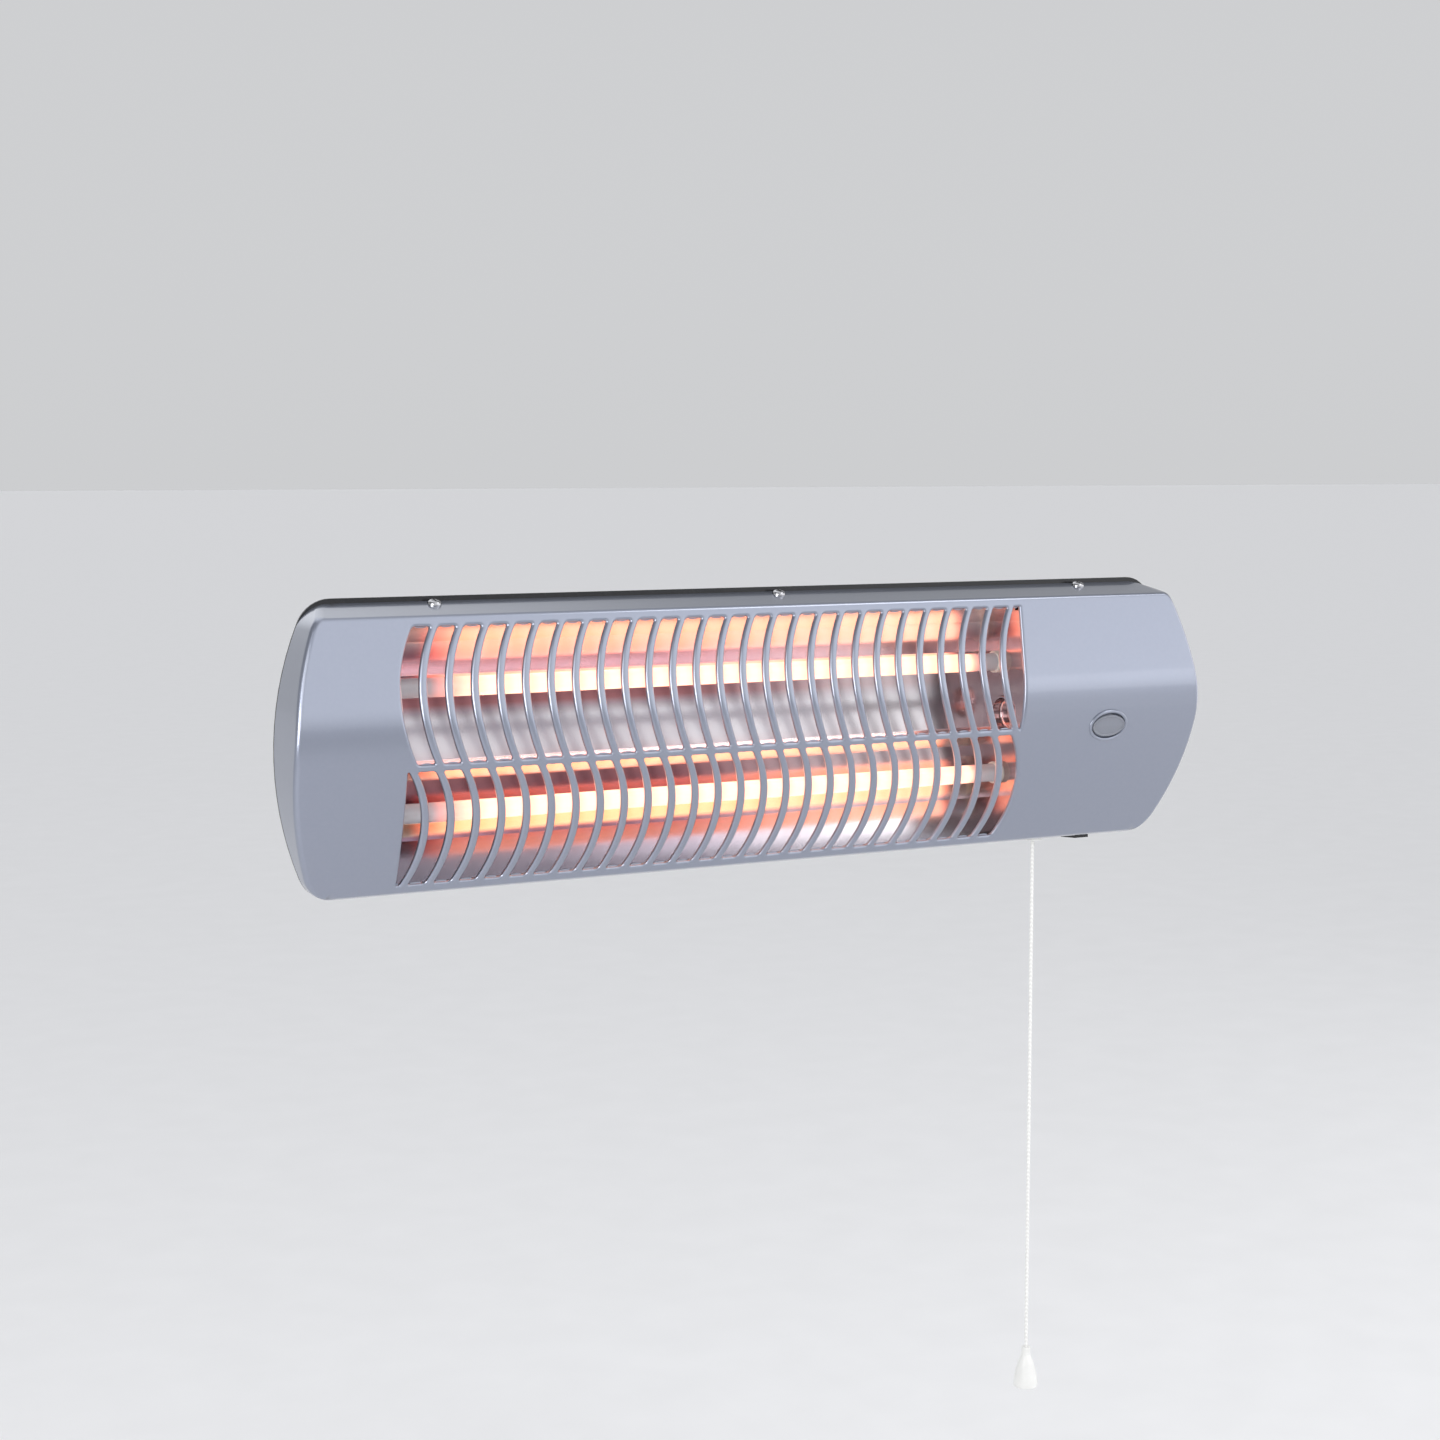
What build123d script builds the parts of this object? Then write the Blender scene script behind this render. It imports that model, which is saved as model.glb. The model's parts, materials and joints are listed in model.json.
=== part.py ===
from build123d import *
import math
import os

# A wall-mounted quartz radiant heater with a pull switch.
# Sizes are millimetres. X runs along the heater, the front faces -Y and Z is up.
# The origin lies on the wall, midway between the two wall screw holes.

# Pressed front cover
body_length = 540.0
cover_height = 145.0
end_arc_radius = 165.0
corner_radius = 18.0
cover_wall = 1.0
flange_depth = 21.5
flange_drop = 6.0
upper_face_angle = 12.5
lower_face_angle = 16.0
face_bend_radius = 60.0
lower_face_radius = 350.0
bottom_lip_depth = 3.2
bottom_lip_rise = 1.2
edge_radius = 2.8

# Slots in two rows: every rib is one S-shaped curve across both rows
rib_count = 26
rib_width = 4.2
grille_left_margin = 61.0
grille_right_margin = 125.4
grille_top_margin = 10.85
grille_low_margin = 4.75
row_gap = 3.4
row_gap_z = -7.15
upper_bow = 8.7
lower_bow = 8.1
upper_shift = -0.6
lower_shift = 3.2
left_wedge = (0.7, 1.7)
right_wedge = (3.8, 0.9)
slot_corner = 1.4
wedge_corner = 0.3
collar_depth = 2.0
collar_wall = 0.8
cover_screw_clearance = 0.2

# Indicator window
indicator_end_margin = 63.1
indicator_z = -6.35
lens_width = 22.0
lens_height = 13.0
bezel_width = 26.2
bezel_height = 18.8
bezel_wall = 0.9
bezel_proud = 0.8
lens_proud = 0.4
lens_thickness = 3.0
bezel_depth = 6.0
holder_depth = 12.0
holder_floor = 2.0
lamp_radius = 3.0
lamp_length = 12.0
lamp_wall = 0.5
lamp_base = 1.0
electrode_radius = 0.5
electrode_spacing = 2.0

# Rear housing
plate_thickness = 1.2
plate_rise = 2.5
pan_depth = 22.0
pan_side_inset = 12.0
pan_top_inset = 10.5
pan_low_inset = 2.8
pan_corner_radius = 14.0
pan_edge_radius = 2.4
vent_pitch = 12.0
vent_margin = 18.0
vent_width = 4.0
vent_height = 30.0
vent_centre_z = 22.0

# Cover screws and the tabs that take them
screw_end_margin = 74.5
screw_offset_x = 7.0
screw_flange_place = 5.0
screw_radius = 1.5
screw_length = 8.0
screw_head_radius = 3.5
screw_head_height = 2.2
screw_head_dome = 0.85
cross_length = 3.5
cross_width = 0.8
cross_depth = 1.2
tab_width = 14.0
tab_length = 10.0
tab_thickness = 1.2

# Quartz tubes and coils
tube_behind_rim = 2.0
upper_tube_rise = 1.4
lower_tube_rise = 5.3
tube_radius = 5.0
tube_wall = 1.0
tube_reach = 8.0
coil_gap = 0.7
coil_wire = 0.9
cold_end = 21.0
tail_radius = 0.6
coil_end_wall = 2.0
tail_end_margin = 2.0

# Reflector troughs
left_plate_margin = 56.0
right_plate_margin = 116.0
reflector_sheet = 0.6
reflector_back = 15.0
upper_lip_ahead = 18.0
upper_lip_margin = 10.0
upper_roof_ahead = 6.0
upper_roof_rise = 23.7
upper_flank_behind = 12.5
upper_flank_rise = 5.5
upper_foot_behind = 16.4
upper_foot_z = -9.4
seam_z = -12.0
seam_behind = 12.0
seam_flange = 2.0
seam_clearance = 0.1
lower_back = (14.5, -7.5)
lower_flank_behind = 11.8
lower_flank_drop = 15.8
lower_lip_ahead = 2.2
lower_lip_margin = 5.1

# End plates and tube caps
end_plate_sheet = 1.0
end_plate_gap = 5.0
end_plate_top_margin = 13.5
end_plate_low_margin = 6.5
end_notch_top_margin = 22.5
end_notch_low_margin = 17.5
end_notch_depth = 7.0
end_foot = 10.0
foot_screw_share = 0.6
foot_screw_margin = 12.0
foot_screw_proud = 1.5
dish_ahead = 5.0
dish_z = 0.5
dish_radius = 9.0
dish_depth = 4.5
dish_floor_round = 1.6
dish_lip = 1.4
dish_lip_round = 1.0
cap_nose_wall = 1.1
cap_nose_length = 4.0
cap_flange_rim = 2.4
cap_flange_length = 3.0
cap_body_wall = 2.0
cap_body_length = 12.0
cap_tail_radius = 2.0
cap_end_round = 1.0
fit_clearance = 0.05

# Pull switch
switch_end_margin = 85.0
switch_behind_rim = 11.0
switch_width = 22.0
switch_thickness = 14.0
switch_height = 34.0
switch_rise = 7.7
neck_radius = 4.9
neck_reach = 3.3
neck_bore = 2.2
running_gap = 0.08
chamber_radius = 5.6
chamber_floor = 4.0
chamber_roof = 5.0
plunger_flange_radius = 5.2
plunger_flange = 2.0
plunger_rod_reach = 2.0
pull_travel = 8.0
stem_radius = 1.1
bush_radius = 5.6
bush_length = 2.0
bush_bore = 1.6
switch_nut_width = 14.0
switch_nut_height = 3.0
spring_radius = 4.8
spring_bore = 3.6
plunger_top_gap = 0.4
switch_corner = 1.5
pin_count = 3
pin_pitch = 6.0
pin_width = 2.5
pin_thickness = 0.8
pin_height = 6.0
bush_round = 0.8

# Pull cord and its knob: the cord swings from a point just below the bush
cord_radius = 1.0
cord_swing_drop = 1.2
cord_swing_gap = 0.15
cord_length = 300.0
knob_length = 24.0
knob_radius = 7.0
knob_neck_radius = 2.6
knob_shoulder = 0.2
knob_flare = 0.55
knob_flare_width = 0.8
knob_rim = 0.88
knob_edge = 1.0

# Wiring
block_end_margin = 44.0
block_z = 24.0
block_width = 16.0
block_height = 36.0
block_depth = 14.0
block_ways = 3
block_round = 1.0
way_radius = 1.8
way_share = 0.45
clamp_hole_radius = 2.1
clamp_hole_depth = 4.0
clamp_screw_radius = 2.0
clamp_screw_length = 5.0
clamp_screw_sunk = 1.4
driver_slot_width = 0.7
driver_slot_depth = 0.7
gland_end_margin = 56.0
gland_bore = 3.6
gland_neck_radius = 6.0
gland_hex_width = 15.6
gland_nut_width = 15.0
gland_hex_height = 5.0
gland_nut_height = 3.0
gland_thread_proud = 1.5
earth_end_margin = 64.0
earth_z = -44.0
earth_radius = 2.0
earth_length = 10.0
earth_head_radius = 3.8
earth_head_height = 1.4
earth_nut_width = 7.0
earth_nut_height = 3.0

# Heat-proof wires: each run is a distance from the piece that it passes
wire_radius = 0.9
wire_end_gap = 0.3
wire_cap_depth = 2.0
wire_floor_gap = 3.0
wire_climb = 4.0
wire_turn_out = 7.0
wire_turn_in = 25.0
wire_plate_gap = 4.0
upper_wire_lead = 19.0
upper_wire_reach = 34.0
lower_wire_lead = 12.0
lower_wire_step = 32.0
lower_wire_reach = 36.0
lower_wire_z = -8.0
long_wire_step = 30.0
long_wire_reach = 38.0
long_wire_rise = 6.0
switch_wire_back = 10.0
switch_wire_side = 2.0
switch_wire_rise = 20.0
switch_wire_drop = 6.0
wide_bend = 6.0
short_bend = 4.0
tight_bend = 3.5

# Wall bracket and tilt pivots
pivot_y = -24.0
pivot_z = -20.0
pivot_radius = 3.0
lug_x = 58.0
lug_sheet = 2.0
lug_base_width = 24.0
lug_base_height = 40.0
lug_round = 10.0
lug_base_corner = 3.0
rivet_radius = 2.0
rivet_head_radius = 3.5
rivet_head_height = 1.2
rivet_head_dome = 0.6
rivet_inner_proud = 1.0
rivet_spacing = 26.0
washer_gap = 0.2
washer_thickness = 1.6
washer_radius = 8.0
bracket_sheet = 2.5
bracket_bend = 4.0
bracket_top = 14.0
bracket_low = -36.0
ear_round = 14.0
ear_gap = 0.8
wall_hole_spacing = 80.0
wall_hole_radius = 2.75
clamp_gap = 0.3
knob_grip_radius = 13.0
knob_grip_length = 12.0
knob_lobes = 7
knob_lobe_cut = 3.6
knob_lobe_offset = 1.0
knob_grip_round = 1.2
knob_cap = 3.0
nut_width = 10.0
nut_height = 5.0
bolt_end_proud = 1.0

# Drawing aids: how far a cutting tool runs past the piece, and how the lip's search ends
cut_reach = 300.0
small_cut = 10.0
near_zero = 0.01
search_steps = 50

# Places that follow from the sizes above
pan_back = pivot_y - ear_round - ear_gap
rim_y = pan_back - pan_depth - plate_thickness
pan_inside = pan_back - plate_thickness
body_end = body_length / 2
cover_top = cover_height / 2
first_rib_x = -body_end + grille_left_margin
slot_pitch = (body_length - grille_left_margin - grille_right_margin) / rib_count
upper_row_top = cover_top - grille_top_margin
upper_row_low = row_gap_z + row_gap / 2
lower_row_top = row_gap_z - row_gap / 2
lower_row_low = -cover_top + grille_low_margin
indicator_x = body_end - indicator_end_margin
screw_spacing = body_end - screw_end_margin
tube_y = rim_y + tube_behind_rim
upper_tube_z = (upper_row_top + upper_row_low) / 2 + upper_tube_rise
lower_tube_z = (lower_row_top + lower_row_low) / 2 + lower_tube_rise
left_plate_x = -body_end + left_plate_margin
right_plate_x = body_end - right_plate_margin
end_plate_span = right_plate_x - left_plate_x
heater_centre_x = (left_plate_x + right_plate_x) / 2
tube_bore_radius = tube_radius - tube_wall
coil_radius = tube_bore_radius - coil_gap
coil_bore_radius = coil_radius - coil_wire
cap_nose_radius = tube_radius + cap_nose_wall
cap_flange_radius = cap_nose_radius + cap_flange_rim
cap_body_radius = tube_radius + cap_body_wall
reflector_back_y = tube_y + reflector_back
seam_y = tube_y + seam_behind
dish_y = tube_y - dish_ahead
vent_centre_x = (lug_x + right_plate_x) / 2
vent_count = 1 + int((right_plate_x - lug_x - 2 * vent_margin) / vent_pitch)
tube_length = end_plate_span + 2 * tube_reach
heated_length = end_plate_span - 2 * cold_end
end_plate_top = cover_top - end_plate_top_margin
end_plate_low = -cover_top + end_plate_low_margin
end_notch_top = cover_top - end_notch_top_margin
end_notch_low = -cover_top + end_notch_low_margin
end_notch_y = pan_inside - end_notch_depth
pan_underside = -cover_top + pan_low_inset
switch_x = body_end - switch_end_margin
switch_y = rim_y + switch_behind_rim
switch_low = pan_underside + switch_rise
switch_top = switch_low + switch_height
neck_low = pan_underside - neck_reach
chamber_low = switch_low + chamber_floor
chamber_top = switch_top - chamber_roof
plunger_top = chamber_top - plunger_top_gap
plunger_rod_low = switch_low - plunger_rod_reach
bush_mouth = neck_low - bush_length
cord_swing_z = bush_mouth - cord_swing_drop
cord_top = cord_swing_z + cord_radius
cord_low = cord_top - cord_length
stem_low = cord_top + cord_swing_gap
block_x = body_end - block_end_margin
gland_x = body_end - gland_end_margin
gland_y = rim_y + pan_depth / 2
earth_x = body_end - earth_end_margin
lug_base_x = lug_x - lug_base_width / 2
ear_inner_x = lug_x + lug_sheet + washer_thickness + 2 * washer_gap


def turn(angle):
    return math.radians(angle)


def outline(side=0.0, top=0.0, low=0.0, corner=corner_radius):
    """The cover's front outline, drawn in by the given amounts, with bowed ends."""
    half = body_end - side
    high = cover_top - top
    deep = -cover_top + low
    radius = end_arc_radius - side
    centre = half - radius
    high_x = centre + math.sqrt(radius**2 - high**2)
    deep_x = centre + math.sqrt(radius**2 - deep**2)
    edges = [
        Line((-high_x, high), (high_x, high)),
        ThreePointArc((high_x, high), (half, 0), (deep_x, deep)),
        Line((deep_x, deep), (-deep_x, deep)),
        ThreePointArc((-deep_x, deep), (-half, 0), (-high_x, high)),
    ]
    face = make_face(edges)
    return fillet(face.vertices(), corner)


def face_curves():
    """Points of the cover's section as (distance in front of the rim, z), from the top bend down."""
    bend = (flange_depth, cover_top - flange_drop)
    lip_z = -cover_top + bottom_lip_rise
    start = turn(upper_face_angle)
    middle = turn(lower_face_angle)

    def chain(facet_z):
        depth = bend[0] + (bend[1] - facet_z) * math.tan(start)
        bend_centre = (
            depth - face_bend_radius * math.cos(start),
            facet_z - face_bend_radius * math.sin(start),
        )
        join = (
            bend_centre[0] + face_bend_radius * math.cos(middle),
            bend_centre[1] - face_bend_radius * math.sin(middle),
        )
        low_centre = (
            join[0] - lower_face_radius * math.cos(middle),
            join[1] + lower_face_radius * math.sin(middle),
        )
        last = math.asin((low_centre[1] - lip_z) / lower_face_radius)
        lip = (low_centre[0] + lower_face_radius * math.cos(last), lip_z)
        return (depth, facet_z), bend_centre, join, low_centre, last, lip

    low_guess = 0.0
    high_guess = bend[1]
    for _ in range(search_steps):
        guess = (low_guess + high_guess) / 2
        if chain(guess)[5][0] > bottom_lip_depth:
            low_guess = guess
        else:
            high_guess = guess
    facet_end, bend_centre, join, low_centre, last, lip = chain(guess)
    half_turn = (start - middle) / 2
    bend_middle = (
        bend_centre[0] + face_bend_radius * math.cos(half_turn),
        bend_centre[1] + face_bend_radius * math.sin(half_turn),
    )
    low_turn = (middle + last) / 2
    low_middle = (
        low_centre[0] + lower_face_radius * math.cos(low_turn),
        low_centre[1] - lower_face_radius * math.sin(low_turn),
    )
    return bend, facet_end, bend_middle, join, low_middle, lip, bend_centre, low_centre


def face_depth(z):
    """How far the cover's face stands in front of the rim at height z."""
    bend, facet_end, _, join, _, _, bend_centre, low_centre = face_curves()
    if z > facet_end[1]:
        return bend[0] + (bend[1] - z) * math.tan(turn(upper_face_angle))
    if z > join[1]:
        return bend_centre[0] + math.sqrt(face_bend_radius**2 - (z - bend_centre[1]) ** 2)
    return low_centre[0] + math.sqrt(lower_face_radius**2 - (z - low_centre[1]) ** 2)


def section(back, inset):
    """The cover's closed section in the YZ plane, from back behind the rim to the face."""
    top = cover_top
    low = -cover_top
    points = [(rim_y - depth, z) for depth, z in face_curves()[:6]]
    bend, facet_end, bend_middle, join, low_middle, lip = points
    edges = [
        Line((rim_y + back, top), (rim_y, top)),
        Line((rim_y, top), bend),
        Line(bend, facet_end),
        ThreePointArc(facet_end, bend_middle, join),
        ThreePointArc(join, low_middle, lip),
        Line(lip, (rim_y, low)),
        Line((rim_y, low), (rim_y + back, low)),
        Line((rim_y + back, low), (rim_y + back, top)),
    ]
    face = make_face(edges)
    return offset(face, amount=-inset) if inset else face


def cover_block(inset, back=10.0):
    """A solid of the cover's shape, drawn in by inset, open-ended behind the rim."""
    depth = back + 2 * flange_depth
    front = outline(inset, inset, inset, corner_radius - inset)
    ends = extrude(Plane.XZ.offset(-rim_y - back) * front, depth)
    return ends & extrude(Plane.YZ * section(back, inset), body_end, both=True)


def soften_front(block, radius):
    """Round every edge of a cover block that lies in front of the rim."""
    front = [edge for edge in block.edges() if edge.bounding_box().max.Y < rim_y - near_zero]
    level = [edge for edge in front if edge.length > body_length / 2]
    ends = [edge for edge in front if edge.length <= body_length / 2]
    outer = [edge for edge in level if abs(edge.center().Z) > cover_height / 3]
    return fillet(ends + outer, radius)


def rib_line(z):
    """X of the first S-shaped rib's middle line at height z."""
    if z > row_gap_z:
        high, deep, bow, shift, start = upper_row_top, upper_row_low, upper_bow, upper_shift, 0.0
    else:
        high, deep, bow, shift, start = lower_row_top, lower_row_low, -lower_bow, lower_shift, upper_shift
    half = (high - deep) / 2
    radius = (half**2 + bow**2) / (2 * abs(bow))
    swell = math.sqrt(radius**2 - (z - (high + deep) / 2) ** 2) - (radius - abs(bow))
    drift = start + shift * (high - z) / (high - deep)
    return first_rib_x - math.copysign(swell, bow) + drift


def slot_face(left, right, high, deep, corner):
    """One slot between two side curves, each given as a function of height."""
    middle = (high + deep) / 2
    edges = [
        Line((left(high), high), (right(high), high)),
        side_curve(right, high, middle, deep),
        Line((right(deep), deep), (left(deep), deep)),
        side_curve(left, deep, middle, high),
    ]
    face = make_face(edges)
    return fillet(face.vertices(), corner)


def side_curve(across, first, middle, last):
    points = [(across(z), z) for z in (first, middle, last)]
    chord_middle = (points[0][0] + points[2][0]) / 2
    if abs(points[1][0] - chord_middle) < near_zero:
        return Line(points[0], points[2])
    return ThreePointArc(*points)


def rib_side(number, side):
    """The curve of one rib's left (-1) or right (1) side."""
    return lambda z: rib_line(z) + number * slot_pitch + side * rib_width / 2


def slot_faces():
    """All slots of both rows, as flat faces."""
    faces = []
    for number in range(rib_count):
        left = rib_side(number, 1)
        right = rib_side(number + 1, -1)
        faces.append(slot_face(left, right, upper_row_top, upper_row_low, slot_corner))
        faces.append(slot_face(left, right, lower_row_top, lower_row_low, slot_corner))
    last = rib_side(rib_count, 1)
    right = straight_side(last, right_wedge, upper_row_top, upper_row_low)
    faces.append(slot_face(last, right, upper_row_top, upper_row_low, wedge_corner))
    first = rib_side(0, -1)
    left = straight_side(first, [-width for width in left_wedge], lower_row_top, lower_row_low)
    faces.append(slot_face(left, first, lower_row_top, lower_row_low, wedge_corner))
    return faces


def straight_side(side, widths, high, deep):
    """A straight side that stands these widths away from a curved side at its two ends."""
    start = side(high) + widths[0]
    stop = side(deep) + widths[1]
    return lambda z: start + (stop - start) * (high - z) / (high - deep)


def face_prism(face):
    """Push a flat XZ face forward through the cover."""
    return extrude(Plane.XZ.offset(-rim_y - collar_depth) * face, cut_reach)


def indicator_plane():
    """The tangent plane of the face at the indicator's middle, x to the right."""
    depth = face_depth(indicator_z)
    slope = (face_depth(indicator_z + 1) - face_depth(indicator_z - 1)) / 2
    normal = Vector(0, -1, -slope).normalized()
    return Plane(origin=(indicator_x, rim_y - depth, indicator_z), x_dir=(1, 0, 0), z_dir=normal)


def oval_prism(width, height, behind, ahead):
    """An oval block square to the indicator's plane."""
    plane = indicator_plane().offset(-behind)
    return extrude(plane * Ellipse(width / 2, height / 2), behind + ahead)


def flange_plane(x):
    """A plane on the top flange's outer face at one screw, z out of the flange."""
    slope = flange_drop / flange_depth
    normal = Vector(0, -slope, 1).normalized()
    place = (x, rim_y - screw_flange_place, cover_top - slope * screw_flange_place)
    return Plane(origin=place, x_dir=(1, 0, 0), z_dir=normal)


def screw_places():
    return [screw_offset_x + step * screw_spacing for step in (-1, 0, 1)]


def front_cover():
    outer = soften_front(cover_block(0.0), edge_radius)
    inner = soften_front(cover_block(cover_wall), edge_radius - cover_wall)
    behind = Pos(0, rim_y + cut_reach / 2, 0) * Box(2 * body_length, cut_reach, 2 * cover_height)
    shell = outer - inner - behind
    faces = slot_faces()
    sleeves = [face_prism(offset(face, amount=collar_wall)) for face in faces]
    band = cover_block(cover_wall / 2) - cover_block(collar_depth)
    collars = [sleeve & band for sleeve in sleeves]
    cover = shell + collars - [face_prism(face) for face in faces]
    cover -= oval_prism(bezel_hole_width(), bezel_hole_height(), small_cut, small_cut)
    for x in screw_places():
        cover -= flange_plane(x) * Cylinder(screw_radius + cover_screw_clearance, small_cut)
    return cover


def bezel_hole_width():
    return lens_width + 2 * (bezel_wall + 2 * fit_clearance)


def bezel_hole_height():
    return lens_height + 2 * (bezel_wall + 2 * fit_clearance)


def sleeve_prism(behind, ahead, wall=0.0):
    """An oval block the size of the bezel's sleeve, drawn in by wall."""
    shrink = 2 * (fit_clearance + wall)
    return oval_prism(bezel_hole_width() - shrink, bezel_hole_height() - shrink, behind, ahead)


def indicator_bezel():
    """A trim ring on the cover's face with a sleeve through it."""
    front = cover_block(-bezel_proud)
    flange = oval_prism(bezel_width, bezel_height, bezel_depth, bezel_depth)
    flange &= front - cover_block(0.0)
    sleeve = sleeve_prism(bezel_depth, bezel_depth) & front
    play = 2 * fit_clearance
    bore = oval_prism(lens_width + play, lens_height + play, 2 * bezel_depth, bezel_depth)
    return flange + sleeve - bore


def indicator_lens():
    lens = oval_prism(lens_width, lens_height, bezel_depth, bezel_depth)
    return lens & (cover_block(-bezel_proud - lens_proud) - cover_block(lens_thickness))


def lamp_holder():
    """A cup on the back of the bezel's sleeve that holds the neon lamp."""
    back = bezel_depth + holder_depth
    cup = sleeve_prism(back, -bezel_depth)
    cup -= sleeve_prism(back - holder_floor, 0.0, bezel_wall)
    lamp_hole = indicator_plane() * Pos(0, 0, -back) * Cylinder(lamp_radius + fit_clearance, small_cut)
    return cup - lamp_hole


def neon_lamp():
    """A small glass lamp with two electrodes, seated in the holder's floor."""
    middle = Pos(0, 0, -bezel_depth - holder_depth + lamp_length / 2 - lamp_base)
    inside = Cylinder(lamp_radius - lamp_wall, lamp_length - 2 * lamp_wall)
    glass = Cylinder(lamp_radius, lamp_length) - inside
    electrodes = []
    for side in (-1, 1):
        rod = Cylinder(electrode_radius, lamp_length - 2 * lamp_base)
        electrodes.append(Pos(side * electrode_spacing / 2, 0, -lamp_base) * rod)
    return indicator_plane() * middle * (glass + electrodes)


def pan_outline(wall):
    return outline(
        pan_side_inset + wall, pan_top_inset + wall, pan_low_inset + wall, pan_corner_radius - wall
    )


def rear_housing():
    """The black back plate with its pressed pan, cover tabs, vents and holes."""
    plate = extrude(Plane.XZ.offset(-rim_y) * outline(0, -plate_rise, 0), -plate_thickness)
    pan = extrude(Plane.XZ.offset(-pan_back) * pan_outline(0), pan_depth)
    pan = fillet(pan.faces().sort_by(Axis.Y)[-1].edges(), pan_edge_radius)
    inside = pan_outline(plate_thickness)
    hollow = extrude(Plane.XZ.offset(-pan_inside) * inside, 2 * pan_depth)
    hollow = fillet(hollow.faces().sort_by(Axis.Y)[-1].edges(), pan_edge_radius - plate_thickness)
    housing = plate + pan - hollow
    for x in screw_places():
        housing += cover_tab(x)
    for x in (-vent_centre_x, vent_centre_x):
        housing -= vent_group(x)
    neck_hole = Cylinder(neck_radius + 2 * fit_clearance, 2 * small_cut)
    gland_hole = Cylinder(gland_neck_radius + 2 * fit_clearance, 2 * small_cut)
    housing -= Pos(switch_x, switch_y, -cover_top) * neck_hole
    housing -= Pos(gland_x, gland_y, -cover_top) * gland_hole
    for x, z in rivet_places() + foot_screw_places():
        housing -= pan_hole(x, pan_back, z, rivet_radius)
    return housing - pan_hole(earth_x, pan_back, earth_z, earth_radius)


def pan_hole(x, y, z, radius):
    """A cutting pin along Y for something of this radius."""
    return Pos(x, y, z) * Rot(90, 0, 0) * Cylinder(radius + fit_clearance, small_cut)


def cover_tab(x):
    """A tongue of the back plate under the top flange, with a screw hole."""
    tab = Pos(0, 0, -cover_wall - tab_thickness / 2) * Box(tab_width, 2 * tab_length, tab_thickness)
    tab = flange_plane(x) * tab
    in_front = Pos(x, rim_y - tab_length / 2 + plate_thickness / 4, cover_top) * Box(
        2 * tab_width, tab_length + plate_thickness / 2, cut_reach
    )
    hole = flange_plane(x) * Cylinder(screw_radius + fit_clearance, small_cut)
    return (tab & in_front) - hole


def vent_group(centre):
    slots = Sketch()
    for step in range(vent_count):
        x = centre + (step - (vent_count - 1) / 2) * vent_pitch
        slots += Pos(x, vent_centre_z) * SlotOverall(vent_height, vent_width, rotation=90)
    return extrude(Plane.XZ.offset(-pan_back - small_cut / 2) * slots, small_cut)


def cover_screws():
    """Three dome-head screws with cross recesses."""
    screws = []
    for x in screw_places():
        head = Pos(0, 0, 0) * Cylinder(screw_head_radius, screw_head_height, align=lowest())
        head = fillet(head.faces().sort_by(Axis.Z)[-1].edges(), screw_head_height * screw_head_dome)
        shank = Pos(0, 0, -screw_length) * Cylinder(screw_radius, screw_length, align=lowest())
        cross = Box(cross_length, cross_width, 2 * cross_depth)
        cross += Box(cross_width, cross_length, 2 * cross_depth)
        screws.append(flange_plane(x) * (head + shank - Pos(0, 0, screw_head_height) * cross))
    return Compound(children=screws)


def lowest():
    return (Align.CENTER, Align.CENTER, Align.MIN)


def along_x(shape):
    """Lay a shape that was built along Z down along +X."""
    return Rot(0, 90, 0) * shape


def tube_places():
    return {"upper": upper_tube_z, "lower": lower_tube_z}


def quartz_tube(z):
    tube = Cylinder(tube_radius, tube_length) - Cylinder(tube_bore_radius, 2 * tube_length)
    return Pos(heater_centre_x, tube_y, z) * along_x(tube)


def heating_coil(z):
    """The wound coil's outer form with a straight tail at each end."""
    coil = Cylinder(coil_radius, heated_length)
    coil -= Cylinder(coil_bore_radius, heated_length - 2 * coil_end_wall)
    tail = Cylinder(tail_radius, tail_span() - 2 * tail_end_margin)
    tail -= Cylinder(tail_radius, heated_length - 3 * coil_end_wall)
    return Pos(heater_centre_x, tube_y, z) * along_x(coil + tail)


def tail_span():
    return end_plate_span + 2 * (end_plate_sheet + cap_flange_length + cap_body_length)


def cap_shape():
    """A ceramic tube cap along +Z, z = 0 at the end plate's inner face."""
    seat = end_plate_sheet
    nose = Pos(0, 0, -cap_nose_length) * Cylinder(cap_nose_radius, cap_nose_length + seat, align=lowest())
    flange = Pos(0, 0, seat) * Cylinder(cap_flange_radius, cap_flange_length, align=lowest())
    body = Pos(0, 0, seat + cap_flange_length) * Cylinder(cap_body_radius, cap_body_length, align=lowest())
    body = fillet(body.faces().sort_by(Axis.Z)[-1].edges(), cap_end_round)
    bore_length = small_cut + tube_reach
    bore = Pos(0, 0, -small_cut) * Cylinder(tube_radius + fit_clearance, bore_length, align=lowest())
    tail = Cylinder(cap_tail_radius, cut_reach)
    return nose + flange + body - bore - tail


def ceramic_caps(side):
    """The two caps at one end: side is -1 for the left, 1 for the right."""
    x = heater_centre_x + side * end_plate_span / 2
    caps = [Pos(x, tube_y, z) * Rot(0, 90 * side, 0) * cap_shape() for z in tube_places().values()]
    return Compound(children=caps)


def bent_sheet(points):
    """A strip of reflector sheet with this (y, z) section, its thickness away from the tubes."""
    line = Polyline(*points)
    strip = make_face([line, *thick_side(points)])
    return extrude(Plane.YZ.offset(heater_centre_x - end_plate_span / 2) * strip, end_plate_span)


def thick_side(points):
    """The second side of the strip: each corner moved out by the sheet's thickness."""
    moved = []
    for number, point in enumerate(points):
        before = points[max(number - 1, 0)]
        after = points[min(number + 1, len(points) - 1)]
        moved.append(mitre(before, point, after))
    back = Polyline(*moved)
    return [Line(points[-1], moved[-1]), back, Line(moved[0], points[0])]


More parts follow.
